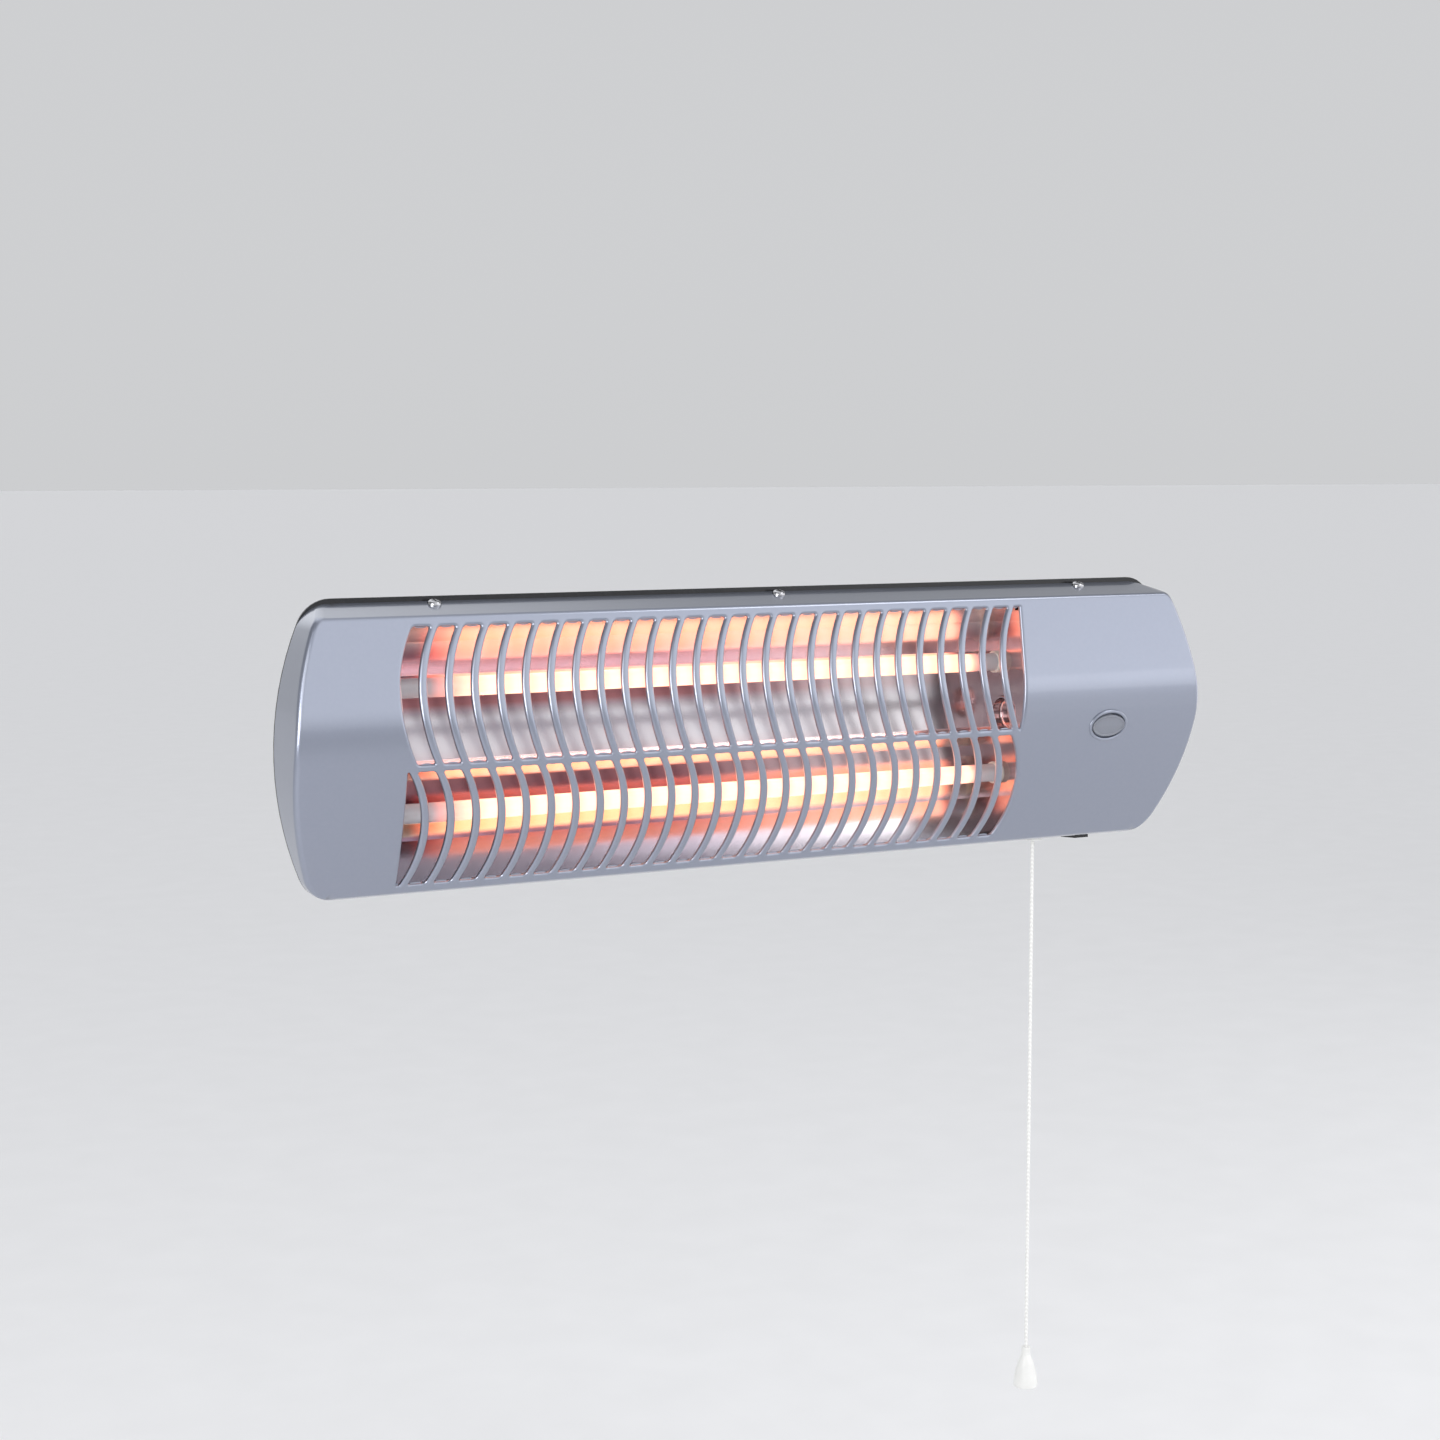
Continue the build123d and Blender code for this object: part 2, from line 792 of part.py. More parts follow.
def mitre(before, point, after):
    """The point on the sheet's far side at a corner of its section."""
    normals = []
    for start, stop in ((before, point), (point, after)):
        if start == stop:
            continue
        run = (stop[0] - start[0], stop[1] - start[1])
        length = math.hypot(*run)
        normals.append((-run[1] / length, run[0] / length))
    along = (sum(n[0] for n in normals), sum(n[1] for n in normals))
    size = math.hypot(*along)
    unit = (along[0] / size, along[1] / size)
    stretch = 1 / (unit[0] * normals[0][0] + unit[1] * normals[0][1])
    return (point[0] + unit[0] * reflector_sheet * stretch, point[1] + unit[1] * reflector_sheet * stretch)


def upper_reflector():
    points = [
        (seam_y - seam_flange, seam_z + seam_clearance),
        (seam_y, seam_z + seam_clearance),
        (tube_y + upper_foot_behind, upper_foot_z),
        (tube_y + upper_flank_behind, upper_tube_z + upper_flank_rise),
        (tube_y - upper_roof_ahead, upper_tube_z + upper_roof_rise),
        (tube_y - upper_lip_ahead, cover_top - upper_lip_margin),
    ]
    return bent_sheet(points)


def lower_reflector():
    points = [
        (tube_y - lower_lip_ahead, -cover_top + lower_lip_margin),
        (tube_y + lower_flank_behind, lower_tube_z - lower_flank_drop),
        (reflector_back_y, lower_tube_z + lower_back[1]),
        (reflector_back_y, lower_tube_z + lower_back[0]),
        (seam_y, seam_z - reflector_sheet),
        (seam_y - seam_flange, seam_z - reflector_sheet),
    ]
    return bent_sheet(points)


def end_plate(side):
    """A polished end plate: tube holes, a drawn dish and a foot on the pan's back."""
    inner_x = heater_centre_x + side * end_plate_span / 2
    middle_x = inner_x + side * end_plate_sheet / 2
    plate = end_slab(middle_x) + end_plate_foot(inner_x, side)
    for z in tube_places().values():
        cap_hole = Cylinder(cap_nose_radius + 2 * fit_clearance, small_cut)
        plate -= Pos(middle_x, tube_y, z) * along_x(cap_hole)
    place = Pos(inner_x, dish_y, dish_z) * Rot(0, 90 * side, 0)
    plate = plate + place * dish_shell() - place * dish_hollow()
    for x, z in foot_screw_places():
        plate -= pan_hole(x, pan_inside, z, rivet_radius)
    return plate


def end_slab(middle_x):
    """The flat sheet of an end plate, with a notch above and below its foot."""
    slab = Pos(middle_x, 0, 0) * Box(end_plate_sheet, cut_reach, cut_reach)
    slab &= cover_block(end_plate_gap, pan_depth + plate_thickness + end_plate_gap)
    span = end_plate_top - end_plate_low
    window = Box(small_cut, cut_reach, span)
    slab &= Pos(middle_x, pan_inside - cut_reach / 2, end_plate_low + span / 2) * window
    notch = Box(small_cut, cut_reach, cut_reach)
    for z in (end_notch_top + cut_reach / 2, end_notch_low - cut_reach / 2):
        slab -= Pos(middle_x, end_notch_y + cut_reach / 2, z) * notch
    return slab


def end_plate_foot(inner_x, side):
    """The foot that lies on the pan's back."""
    middle = (end_notch_top + end_notch_low) / 2
    foot = Box(end_foot, end_plate_sheet, end_notch_top - end_notch_low)
    return Pos(inner_x + side * end_foot / 2, pan_inside - end_plate_sheet / 2, middle) * foot


def dish_shell():
    """The rolled lip inside the plate and the dish's wall and floor outside it, along +Z."""
    lip = Pos(0, 0, -dish_lip) * Cylinder(dish_radius + dish_lip, dish_lip, align=lowest())
    lip = fillet(lip.faces().sort_by(Axis.Z)[0].edges(), dish_lip_round)
    depth = dish_depth + end_plate_sheet
    cup = Cylinder(dish_radius + end_plate_sheet, depth, align=lowest())
    round_size = dish_floor_round + end_plate_sheet
    return lip + fillet(cup.faces().sort_by(Axis.Z)[-1].edges(), round_size)


def dish_hollow():
    """The dish's inside, from in front of its lip to its floor."""
    hollow = Cylinder(dish_radius, dish_depth + small_cut, align=lowest())
    hollow = fillet(hollow.faces().sort_by(Axis.Z)[-1].edges(), dish_floor_round)
    return Pos(0, 0, -small_cut) * hollow


def foot_screw_places():
    places = []
    for side in (-1, 1):
        x = heater_centre_x + side * (end_plate_span / 2 + end_foot * foot_screw_share)
        places.append((x, end_notch_low + foot_screw_margin))
        places.append((x, end_notch_top - foot_screw_margin))
    return places


def rivet_places():
    heights = (pivot_z - rivet_spacing / 2, pivot_z + rivet_spacing / 2)
    return [(side * lug_base_x, z) for side in (-1, 1) for z in heights]


def head_and_shank(head_y, shank_end):
    """A dome-head pin along Y with its head on the rear side of head_y."""
    head = Cylinder(rivet_head_radius, rivet_head_height, align=lowest())
    head = fillet(head.faces().sort_by(Axis.Z)[-1].edges(), rivet_head_height * rivet_head_dome)
    length = head_y - shank_end
    shank = Pos(0, 0, -length) * Cylinder(rivet_radius, length, align=lowest())
    return Pos(0, head_y, 0) * Rot(-90, 0, 0) * (head + shank)


def chassis_screws():
    """Four screws through the pan's back into the end plates' feet."""
    end = pan_inside - end_plate_sheet - foot_screw_proud
    screws = [Pos(x, 0, z) * head_and_shank(pan_back, end) for x, z in foot_screw_places()]
    return Compound(children=screws)


def lug_rivets():
    end = pan_inside - rivet_inner_proud
    rivets = [Pos(x, 0, z) * head_and_shank(pan_back + lug_sheet, end) for x, z in rivet_places()]
    return Compound(children=rivets)


def switch_body():
    """The pull switch's box with its threaded neck through the pan's underside."""
    box = Pos(0, 0, switch_low) * Box(switch_width, switch_thickness, switch_height, align=lowest())
    box = fillet(box.edges().filter_by(Axis.Z), switch_corner)
    neck = Pos(0, 0, neck_low) * Cylinder(neck_radius, switch_low - neck_low, align=lowest())
    chamber = Pos(0, 0, chamber_low) * Cylinder(chamber_radius, chamber_top - chamber_low, align=lowest())
    bore_low = neck_low - small_cut
    bore_length = chamber_low - bore_low + neck_bore
    bore = Pos(0, 0, bore_low) * Cylinder(neck_bore, bore_length, align=lowest())
    pins = []
    for number in range(pin_count):
        x = (number - (pin_count - 1) / 2) * pin_pitch
        pins.append(Pos(x, 0, switch_top) * Box(pin_width, pin_thickness, pin_height, align=lowest()))
    return Pos(switch_x, switch_y, 0) * (box + neck + pins - chamber - bore)


def switch_plunger():
    """The plunger: a flange on the spring, a rod through the neck and a stem to the bush's mouth."""
    rod_radius = neck_bore - running_gap
    flange_low = plunger_top - plunger_flange
    flange = Pos(0, 0, flange_low) * Cylinder(plunger_flange_radius, plunger_flange, align=lowest())
    rod = Pos(0, 0, plunger_rod_low) * Cylinder(rod_radius, flange_low - plunger_rod_low, align=lowest())
    stem = Pos(0, 0, stem_low) * Cylinder(stem_radius, plunger_rod_low - stem_low, align=lowest())
    return Pos(switch_x, switch_y, 0) * (flange + rod + stem)


def switch_spring():
    """The return spring's outer form, between the chamber's floor and the plunger's flange."""
    length = plunger_top - plunger_flange - chamber_low
    spring = Cylinder(spring_radius, length, align=lowest())
    spring -= Cylinder(spring_bore, length, align=lowest())
    return Pos(switch_x, switch_y, chamber_low) * spring


def cord_bush():
    """The smooth ring that the cord's plunger comes out of."""
    ring = Cylinder(bush_radius, bush_length, align=lowest())
    ring = fillet(ring.faces().sort_by(Axis.Z)[0].edges(), bush_round)
    bore = Cylinder(bush_bore, small_cut)
    return Pos(switch_x, switch_y, bush_mouth) * (ring - bore)


def hexagon(width, height):
    return extrude(RegularPolygon(width / math.sqrt(3), 6), height)


def switch_nut():
    """The hexagon nut that holds the switch's neck under the pan."""
    nut = hexagon(switch_nut_width, switch_nut_height) - Cylinder(neck_radius + fit_clearance, small_cut)
    return Pos(switch_x, switch_y, pan_underside - switch_nut_height) * nut


def pull_cord():
    """The hanging cord, round at its upper end so that it can swing under the plunger's stem."""
    cord = Pos(0, 0, cord_low) * Cylinder(cord_radius, cord_swing_z - cord_low, align=lowest())
    cord += Pos(0, 0, cord_swing_z) * Sphere(cord_radius)
    return Pos(switch_x, switch_y, 0) * cord


def cord_knob():
    """A small bell-shaped knob, turned about the cord's line."""
    shoulder = (knob_neck_radius, -knob_length * knob_shoulder)
    flare = (knob_radius * knob_flare_width, -knob_length * knob_flare)
    rim = (knob_radius, -knob_length * knob_rim)
    profile = [
        Line((0, 0), (knob_neck_radius, 0)),
        Line((knob_neck_radius, 0), shoulder),
        Spline(shoulder, flare, rim),
        Line(rim, (knob_radius, -knob_length)),
        Line((knob_radius, -knob_length), (0, -knob_length)),
        Line((0, -knob_length), (0, 0)),
    ]
    knob = revolve(Plane.XZ * make_face(profile), Axis.Z)
    knob = fillet(knob.faces().sort_by(Axis.Z)[0].edges(), knob_edge)
    return Pos(switch_x, switch_y, cord_low) * knob


def terminal_block():
    """A ceramic terminal block on the pan's back, with a screw and two wire holes for each way."""
    block = Pos(0, -block_depth / 2, 0) * Box(block_width, block_depth, block_height)
    block = fillet(block.faces().sort_by(Axis.Y)[0].edges(), block_round)
    for z in terminal_heights():
        block -= Pos(0, -block_depth * way_share, z) * along_x(Cylinder(way_radius, 2 * block_width))
        for x in terminal_columns():
            clamp_hole = Cylinder(clamp_hole_radius, 2 * clamp_hole_depth)
            block -= Pos(x, -block_depth, z) * Rot(90, 0, 0) * clamp_hole
    return Pos(block_x, pan_inside, block_z) * block


def terminal_heights():
    pitch = block_height / block_ways
    return [(number - (block_ways - 1) / 2) * pitch for number in range(block_ways)]


def terminal_columns():
    return (-block_width / 4, block_width / 4)


def terminal_screws():
    screws = []
    for z in terminal_heights():
        for x in terminal_columns():
            slot = Box(3 * clamp_screw_radius, driver_slot_width, 2 * driver_slot_depth)
            screw = Cylinder(clamp_screw_radius, clamp_screw_length)
            screw -= Pos(0, 0, clamp_screw_length / 2) * slot
            place = Pos(block_x + x, pan_inside - block_depth + clamp_screw_sunk, block_z + z)
            screws.append(place * Rot(90, 0, 0) * screw)
    return Compound(children=screws)


def earth_stud():
    """An M4 stud and washer head in the pan's back."""
    head = Pos(0, 0, -earth_head_height) * Cylinder(earth_head_radius, earth_head_height, align=lowest())
    shank = Cylinder(earth_radius, earth_length, align=lowest())
    return Pos(earth_x, pan_back, earth_z) * Rot(90, 0, 0) * (head + shank)


def earth_nut():
    nut = hexagon(earth_nut_width, earth_nut_height) - Cylinder(earth_radius + fit_clearance, small_cut)
    return Pos(earth_x, pan_inside, earth_z) * Rot(90, 0, 0) * nut


def cable_gland():
    """A gland in the pan's underside for the mains lead."""
    wall_low = pan_underside
    head = Pos(0, 0, wall_low - gland_hex_height) * hexagon(gland_hex_width, gland_hex_height)
    neck_length = plate_thickness + gland_nut_height + gland_thread_proud
    neck = Pos(0, 0, wall_low) * Cylinder(gland_neck_radius, neck_length, align=lowest())
    bore = Pos(0, 0, wall_low) * Cylinder(gland_bore, cut_reach)
    return Pos(gland_x, gland_y, 0) * (head + neck - bore)


def gland_nut():
    low = pan_underside + plate_thickness
    nut = hexagon(gland_nut_width, gland_nut_height)
    nut -= Cylinder(gland_neck_radius + fit_clearance, small_cut)
    return Pos(gland_x, gland_y, low) * nut


def wire(points, bends):
    """A wire along straight runs joined by arcs."""
    path = FilletPolyline(*points, radius=bends)
    start = Plane(origin=path @ 0, z_dir=path % 0)
    return sweep(start * Circle(wire_radius), path=path)


def cap_tip_x(side):
    reach = end_plate_span / 2 + end_plate_sheet + cap_flange_length + cap_body_length
    return heater_centre_x + side * (reach - wire_cap_depth)


def internal_wires():
    """Heat-proof wires from the tube ends to the terminal block and the switch."""
    return Compound(children=right_wires() + left_wires())


def block_way(number):
    """Where a wire ends beside one way of the terminal block, as (x, y, z)."""
    block_left = block_x - block_width / 2 - wire_end_gap
    return (block_left, pan_inside - block_depth * way_share, block_z + terminal_heights()[number])


def right_wires():
    """The two short wires from the tubes' right ends."""
    right = cap_tip_x(1)
    low_end = block_way(0)
    high_end = block_way(2)
    upper = [
        (right, tube_y, upper_tube_z),
        (right + upper_wire_lead, tube_y, upper_tube_z),
        (right + upper_wire_reach, high_end[1], high_end[2]),
        high_end,
    ]
    lower = [
        (right, tube_y, lower_tube_z),
        (right + lower_wire_lead, tube_y, lower_tube_z),
        (right + lower_wire_step, tube_y, lower_wire_z),
        (right + lower_wire_reach, low_end[1], low_end[2]),
        low_end,
    ]
    return [wire(upper, wide_bend), wire(lower, short_bend)]


def left_wires():
    """The two long wires from the tubes' left ends, behind the reflectors."""
    right, left = cap_tip_x(1), cap_tip_x(-1)
    turn_x = left - wire_turn_out
    run_x = turn_x + wire_turn_in
    run_y = pan_inside - wire_floor_gap
    top_run = end_plate_top - wire_plate_gap
    low_run = end_notch_low - wire_plate_gap
    end = block_way(1)
    upper = [
        (left, tube_y, upper_tube_z),
        (turn_x, tube_y, upper_tube_z),
        (turn_x, run_y - wire_climb, top_run),
        (run_x, run_y, top_run),
        (right, run_y, top_run),
        (right + long_wire_step, end[1], end[2] + long_wire_rise),
        (right + long_wire_reach, end[1], end[2]),
        end,
    ]
    lower = [
        (left, tube_y, lower_tube_z),
        (turn_x, tube_y, lower_tube_z),
        (turn_x, run_y - wire_climb, low_run),
        (run_x, run_y, low_run),
        (right - switch_wire_back, run_y, low_run),
        (right - switch_wire_side, run_y, low_run + switch_wire_rise),
        (right - switch_wire_side, run_y, switch_top - switch_wire_drop),
    ]
    return [wire(upper, tight_bend), wire(lower, tight_bend)]


def tilt_lugs():
    """Two angle lugs on the pan's back that turn on the pivot bolts."""
    lugs = []
    for side in (-1, 1):
        base = Pos(side * lug_base_x, pan_back + lug_sheet / 2, pivot_z) * Box(
            lug_base_width, lug_sheet, lug_base_height
        )
        base = fillet(base.edges().filter_by(Axis.Y), lug_base_corner)
        arm_x = side * (lug_x + lug_sheet / 2)
        arm_length = pivot_y - pan_back
        arm = Pos(arm_x, pan_back + arm_length / 2, pivot_z) * Box(lug_sheet, arm_length, 2 * lug_round)
        arm += Pos(arm_x, pivot_y, pivot_z) * along_x(Cylinder(lug_round, lug_sheet))
        bore = along_x(Cylinder(pivot_radius + running_gap, small_cut))
        lug = base + arm - Pos(arm_x, pivot_y, pivot_z) * bore
        for x, z in rivet_places():
            lug -= pan_hole(x, pan_back, z, rivet_radius)
        lugs.append(lug)
    return Compound(children=lugs)


def wall_bracket():
    """A U-shaped steel bracket: a wall plate with an ear at each end."""
    half = ear_inner_x + bracket_sheet
    depth = -pivot_y + ear_round
    outer = Pos(0, -depth / 2) * Rectangle(2 * half, depth)
    outer = fillet(outer.vertices().group_by(Axis.Y)[-1], bracket_bend)
    inner = Pos(0, -depth / 2 - bracket_sheet) * Rectangle(2 * ear_inner_x, depth)
    inner = fillet(inner.vertices().group_by(Axis.Y)[-1], bracket_bend - bracket_sheet)
    height = bracket_top - bracket_low
    channel = Pos(0, 0, bracket_low) * extrude(outer - inner, height)
    wall_zone = Pos(0, -bracket_bend / 2, bracket_low + height / 2) * Box(2 * half, bracket_bend, height)
    ear_zone = Pos(0, pivot_y / 2, pivot_z) * Box(2 * half, -pivot_y, 2 * ear_round)
    ear_zone += Pos(0, pivot_y, pivot_z) * along_x(Cylinder(ear_round, 2 * half))
    bracket = channel & (wall_zone + ear_zone)
    bracket -= Pos(0, pivot_y, pivot_z) * along_x(Cylinder(pivot_radius + running_gap, 4 * half))
    for side in (-1, 1):
        hole = Rot(90, 0, 0) * Cylinder(wall_hole_radius, 4 * bracket_sheet)
        bracket -= Pos(side * wall_hole_spacing / 2, 0, 0) * hole
    return bracket


def friction_washers():
    washers = []
    for side in (-1, 1):
        x = side * (lug_x + lug_sheet + washer_gap + washer_thickness / 2)
        ring = Cylinder(washer_radius, washer_thickness) - Cylinder(pivot_radius + running_gap, small_cut)
        washers.append(Pos(x, pivot_y, pivot_z) * along_x(ring))
    return Compound(children=washers)


def pivot_bolt(side):
    """A plain bolt from the clamp knob through the ear, washer, lug and nut."""
    start = lug_x - nut_height - clamp_gap - bolt_end_proud
    end = ear_inner_x + bracket_sheet + clamp_gap + knob_grip_length - knob_cap
    shank = Pos(0, 0, start) * Cylinder(pivot_radius, end - start, align=lowest())
    return Pos(0, pivot_y, pivot_z) * Rot(0, 90 * side, 0) * shank


def clamp_knob(side):
    """A lobed hand knob on the outer end of a pivot bolt."""
    start = ear_inner_x + bracket_sheet + clamp_gap
    grip = Cylinder(knob_grip_radius, knob_grip_length, align=lowest())
    for number in range(knob_lobes):
        around = Rot(0, 0, 360 * number / knob_lobes) * Pos(knob_grip_radius + knob_lobe_offset, 0, 0)
        grip -= around * Cylinder(knob_lobe_cut, cut_reach)
    grip = fillet(grip.faces().sort_by(Axis.Z)[-1].edges(), knob_grip_round)
    hub = Cylinder(pivot_radius + fit_clearance, knob_grip_length - knob_cap, align=lowest())
    return Pos(0, pivot_y, pivot_z) * Rot(0, 90 * side, 0) * Pos(0, 0, start) * (grip - hub)


def lock_nuts():
    """Weld nuts on the inner faces of the lugs."""
    nuts = []
    for side in (-1, 1):
        nut = hexagon(nut_width, nut_height) - Cylinder(pivot_radius + running_gap, small_cut)
        place = Pos(0, pivot_y, pivot_z) * Rot(0, 90 * side, 0) * Pos(0, 0, lug_x - nut_height)
        nuts.append(place * nut)
    return Compound(children=nuts)


def model():
    """Every node's name and shape."""
    nodes = {
        "front_cover": front_cover(),
        "indicator_bezel": indicator_bezel(),
        "indicator_lens": indicator_lens(),
        "lamp_holder": lamp_holder(),
        "neon_lamp": neon_lamp(),
        "rear_housing": rear_housing(),
        "cover_screws": cover_screws(),
        "upper_reflector": upper_reflector(),
        "lower_reflector": lower_reflector(),
        "left_end_plate": end_plate(-1),
        "right_end_plate": end_plate(1),
        "left_ceramic_caps": ceramic_caps(-1),
        "right_ceramic_caps": ceramic_caps(1),
        "chassis_screws": chassis_screws(),
        "switch_body": switch_body(),
        "switch_nut": switch_nut(),
        "switch_spring": switch_spring(),
        "cord_bush": cord_bush(),
        "switch_plunger": switch_plunger(),
        "pull_cord": pull_cord(),
        "cord_knob": cord_knob(),
        "terminal_block": terminal_block(),
        "terminal_screws": terminal_screws(),
        "earth_stud": earth_stud(),
        "earth_nut": earth_nut(),
        "cable_gland": cable_gland(),
        "gland_nut": gland_nut(),
        "internal_wires": internal_wires(),
        "tilt_lugs": tilt_lugs(),
        "lug_rivets": lug_rivets(),
        "lock_nuts": lock_nuts(),
        "wall_bracket": wall_bracket(),
        "friction_washers": friction_washers(),
    }
    for row, z in tube_places().items():
        nodes[row + "_quartz_tube"] = quartz_tube(z)
        nodes[row + "_heating_coil"] = heating_coil(z)
    for name, side in (("left", -1), ("right", 1)):
        nodes[name + "_pivot_bolt"] = pivot_bolt(side)
        nodes[name + "_clamp_knob"] = clamp_knob(side)
    return nodes


os.makedirs("parts", exist_ok=True)
for node, shape in model().items():
    export_step(shape, "parts/" + node + ".step")
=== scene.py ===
import bpy
import json
import math
import numpy as np
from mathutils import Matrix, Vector
from mathutils.geometry import delaunay_2d_cdt


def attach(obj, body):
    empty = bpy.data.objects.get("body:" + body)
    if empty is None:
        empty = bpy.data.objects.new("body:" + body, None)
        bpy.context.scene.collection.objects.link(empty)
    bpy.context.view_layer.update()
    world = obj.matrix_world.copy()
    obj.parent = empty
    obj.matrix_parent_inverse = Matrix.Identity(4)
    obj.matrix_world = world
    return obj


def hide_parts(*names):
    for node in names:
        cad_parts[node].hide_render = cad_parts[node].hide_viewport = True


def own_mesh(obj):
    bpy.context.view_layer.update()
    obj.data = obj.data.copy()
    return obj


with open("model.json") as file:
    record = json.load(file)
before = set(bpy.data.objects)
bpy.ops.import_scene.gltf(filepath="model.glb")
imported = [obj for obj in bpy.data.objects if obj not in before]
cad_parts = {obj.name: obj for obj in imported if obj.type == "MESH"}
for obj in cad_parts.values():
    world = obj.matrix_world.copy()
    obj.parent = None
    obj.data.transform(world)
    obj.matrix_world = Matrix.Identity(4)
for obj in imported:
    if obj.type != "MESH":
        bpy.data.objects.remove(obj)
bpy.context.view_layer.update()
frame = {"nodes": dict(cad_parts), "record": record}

scene = bpy.context.scene
nodes = frame["nodes"]
MM = 0.001


# Camera at the photograph's angle, fitted from the cover's outline
CAMERA_YAW = math.radians(28.69)
CAMERA_PITCH = math.radians(5.84)
CAMERA_PLACE = (-0.6550, -1.2120, 0.13955)
SENSOR_WIDTH = 36.0
FOCAL_LENGTH = 62.5


def point_along(made, direction):
    """Turn a camera or lamp so that it looks along a direction."""
    made.rotation_mode = "QUATERNION"
    made.rotation_quaternion = direction.to_track_quat("-Z", "Y")


camera_data = bpy.data.cameras.new("camera")
camera_data.sensor_width = SENSOR_WIDTH
camera_data.lens = FOCAL_LENGTH
camera = bpy.data.objects.new("camera", camera_data)
scene.collection.objects.link(camera)
camera.location = CAMERA_PLACE
point_along(camera, Vector((math.sin(CAMERA_YAW) * math.cos(CAMERA_PITCH),
                            math.cos(CAMERA_YAW) * math.cos(CAMERA_PITCH),
                            -math.sin(CAMERA_PITCH))))
scene.camera = camera
scene.view_settings.view_transform = "Standard"


class Shader:
    """A small helper that builds one procedural material."""

    def __init__(self, name):
        self.material = bpy.data.materials.new(name)
        self.material.use_nodes = True
        self.tree = self.material.node_tree
        self.main = self.tree.nodes["Principled BSDF"]
        self.place = self.tree.nodes.new("ShaderNodeTexCoord").outputs["Object"]

    def node(self, kind, **values):
        made = self.tree.nodes.new(kind)
        for key, value in values.items():
            setattr(made, key, value)
        return made

    def link(self, out, into):
        self.tree.links.new(out, into)

    def set(self, **values):
        """Set sockets of the main shader, with _ for the spaces in their names."""
        for key, value in values.items():
            self.main.inputs[key.replace("_", " ")].default_value = value

    def noise(self, scale, detail=3.0, stretch=None):
        made = self.node("ShaderNodeTexNoise")
        made.inputs["Scale"].default_value = scale
        made.inputs["Detail"].default_value = detail
        place = self.place
        if stretch:
            mapping = self.node("ShaderNodeMapping")
            mapping.inputs["Scale"].default_value = stretch
            self.link(place, mapping.inputs["Vector"])
            place = mapping.outputs["Vector"]
        self.link(place, made.inputs["Vector"])
        return made.outputs["Fac"]

    def wave(self, scale, **values):
        made = self.node("ShaderNodeTexWave", **values)
        made.inputs["Scale"].default_value = scale
        self.link(self.place, made.inputs["Vector"])
        return made

    def axes(self):
        """The object's X, Y and Z as separate outputs."""
        made = self.node("ShaderNodeSeparateXYZ")
        self.link(self.place, made.inputs[0])
        return made.outputs

    def ramp(self, fac, low, high, start=0.3, stop=0.7):
        """Map start..stop to low..high."""
        made = self.node("ShaderNodeMapRange")
        made.inputs["From Min"].default_value = start
        made.inputs["From Max"].default_value = stop
        made.inputs["To Min"].default_value = low
        made.inputs["To Max"].default_value = high
        self.link(fac, made.inputs["Value"])
        return made.outputs["Result"]

    def blend(self, fac, first, second):
        """Mix two colours, each one given as three numbers or as another node's output."""
        made = self.node("ShaderNodeMix", data_type="RGBA")
        for socket, colour in (("A", first), ("B", second)):
            if isinstance(colour, tuple):
                made.inputs[socket].default_value = (*colour, 1.0)
            else:
                self.link(colour, made.inputs[socket])
        self.link(fac, made.inputs["Factor"])
        return made.outputs["Result"]

    def colour(self, fac, first, second):
        self.link(self.blend(fac, first, second), self.main.inputs["Base Color"])

    def roughness(self, fac, low, high):
        self.link(self.ramp(fac, low, high), self.main.inputs["Roughness"])

    def glow(self, colour, heat, strength):
        """Emission of a colour, with a strength that follows the heat."""
        self.link(colour, self.main.inputs["Emission Color"])
        self.link(self.ramp(heat, 0.0, strength, 0.0, 1.0), self.main.inputs["Emission Strength"])

    def bump(self, fac, distance, strength):
        made = self.node("ShaderNodeBump")
        made.inputs["Distance"].default_value = distance
        made.inputs["Strength"].default_value = strength
        self.link(fac, made.inputs["Height"])
        self.link(made.outputs["Normal"], self.main.inputs["Normal"])


def metal_paint(name):
    """Satin metallic blue-grey paint under a clear coat."""
    s = Shader(name)
    s.colour(s.ramp(s.noise(500.0, 2.0), 0.0, 1.0), (0.264, 0.288, 0.362), (0.270, 0.294, 0.368))
    s.roughness(s.noise(90.0), 0.29, 0.31)
    s.set(Metallic=0.8, Coat_Weight=1.0, Coat_Roughness=0.07, Coat_IOR=1.6)
    return s.material


def plain(name, first, second, rough, scale=400.0, depth=0.00003):
    """Paint, plastic, ceramic or sleeve with a fine grain."""
    s = Shader(name)
    grain = s.noise(scale)
    s.colour(s.ramp(grain, 0.0, 1.0), first, second)
    s.roughness(grain, rough * 0.85, rough * 1.15)
    s.bump(s.noise(scale * 3.0, 2.0), depth, 0.5)
    return s.material


def brushed(name, first, second, rough, stretch, depth=0.00001):
    """Bare metal, with its grain drawn out along the axes that have a small stretch."""
    s = Shader(name)
    lines = s.noise(900.0, 3.0, stretch)
    s.colour(s.ramp(lines, 0.0, 1.0), first, second)
    s.roughness(lines, rough * 0.85, rough * 1.15)
    s.set(Metallic=1.0)
    s.bump(lines, depth, 0.4)
    return s.material


def clear_glass(name, first, second):
    s = Shader(name)
    s.colour(s.noise(60.0), first, second)
    s.set(Transmission_Weight=1.0, Roughness=0.02, IOR=1.46)
    return s.material


def milky_lens(name):
    s = Shader(name)
    s.colour(s.noise(80.0), (0.34, 0.36, 0.42), (0.38, 0.40, 0.46))
    s.set(Transmission_Weight=0.45, Roughness=0.03, IOR=1.55)
    return s.material


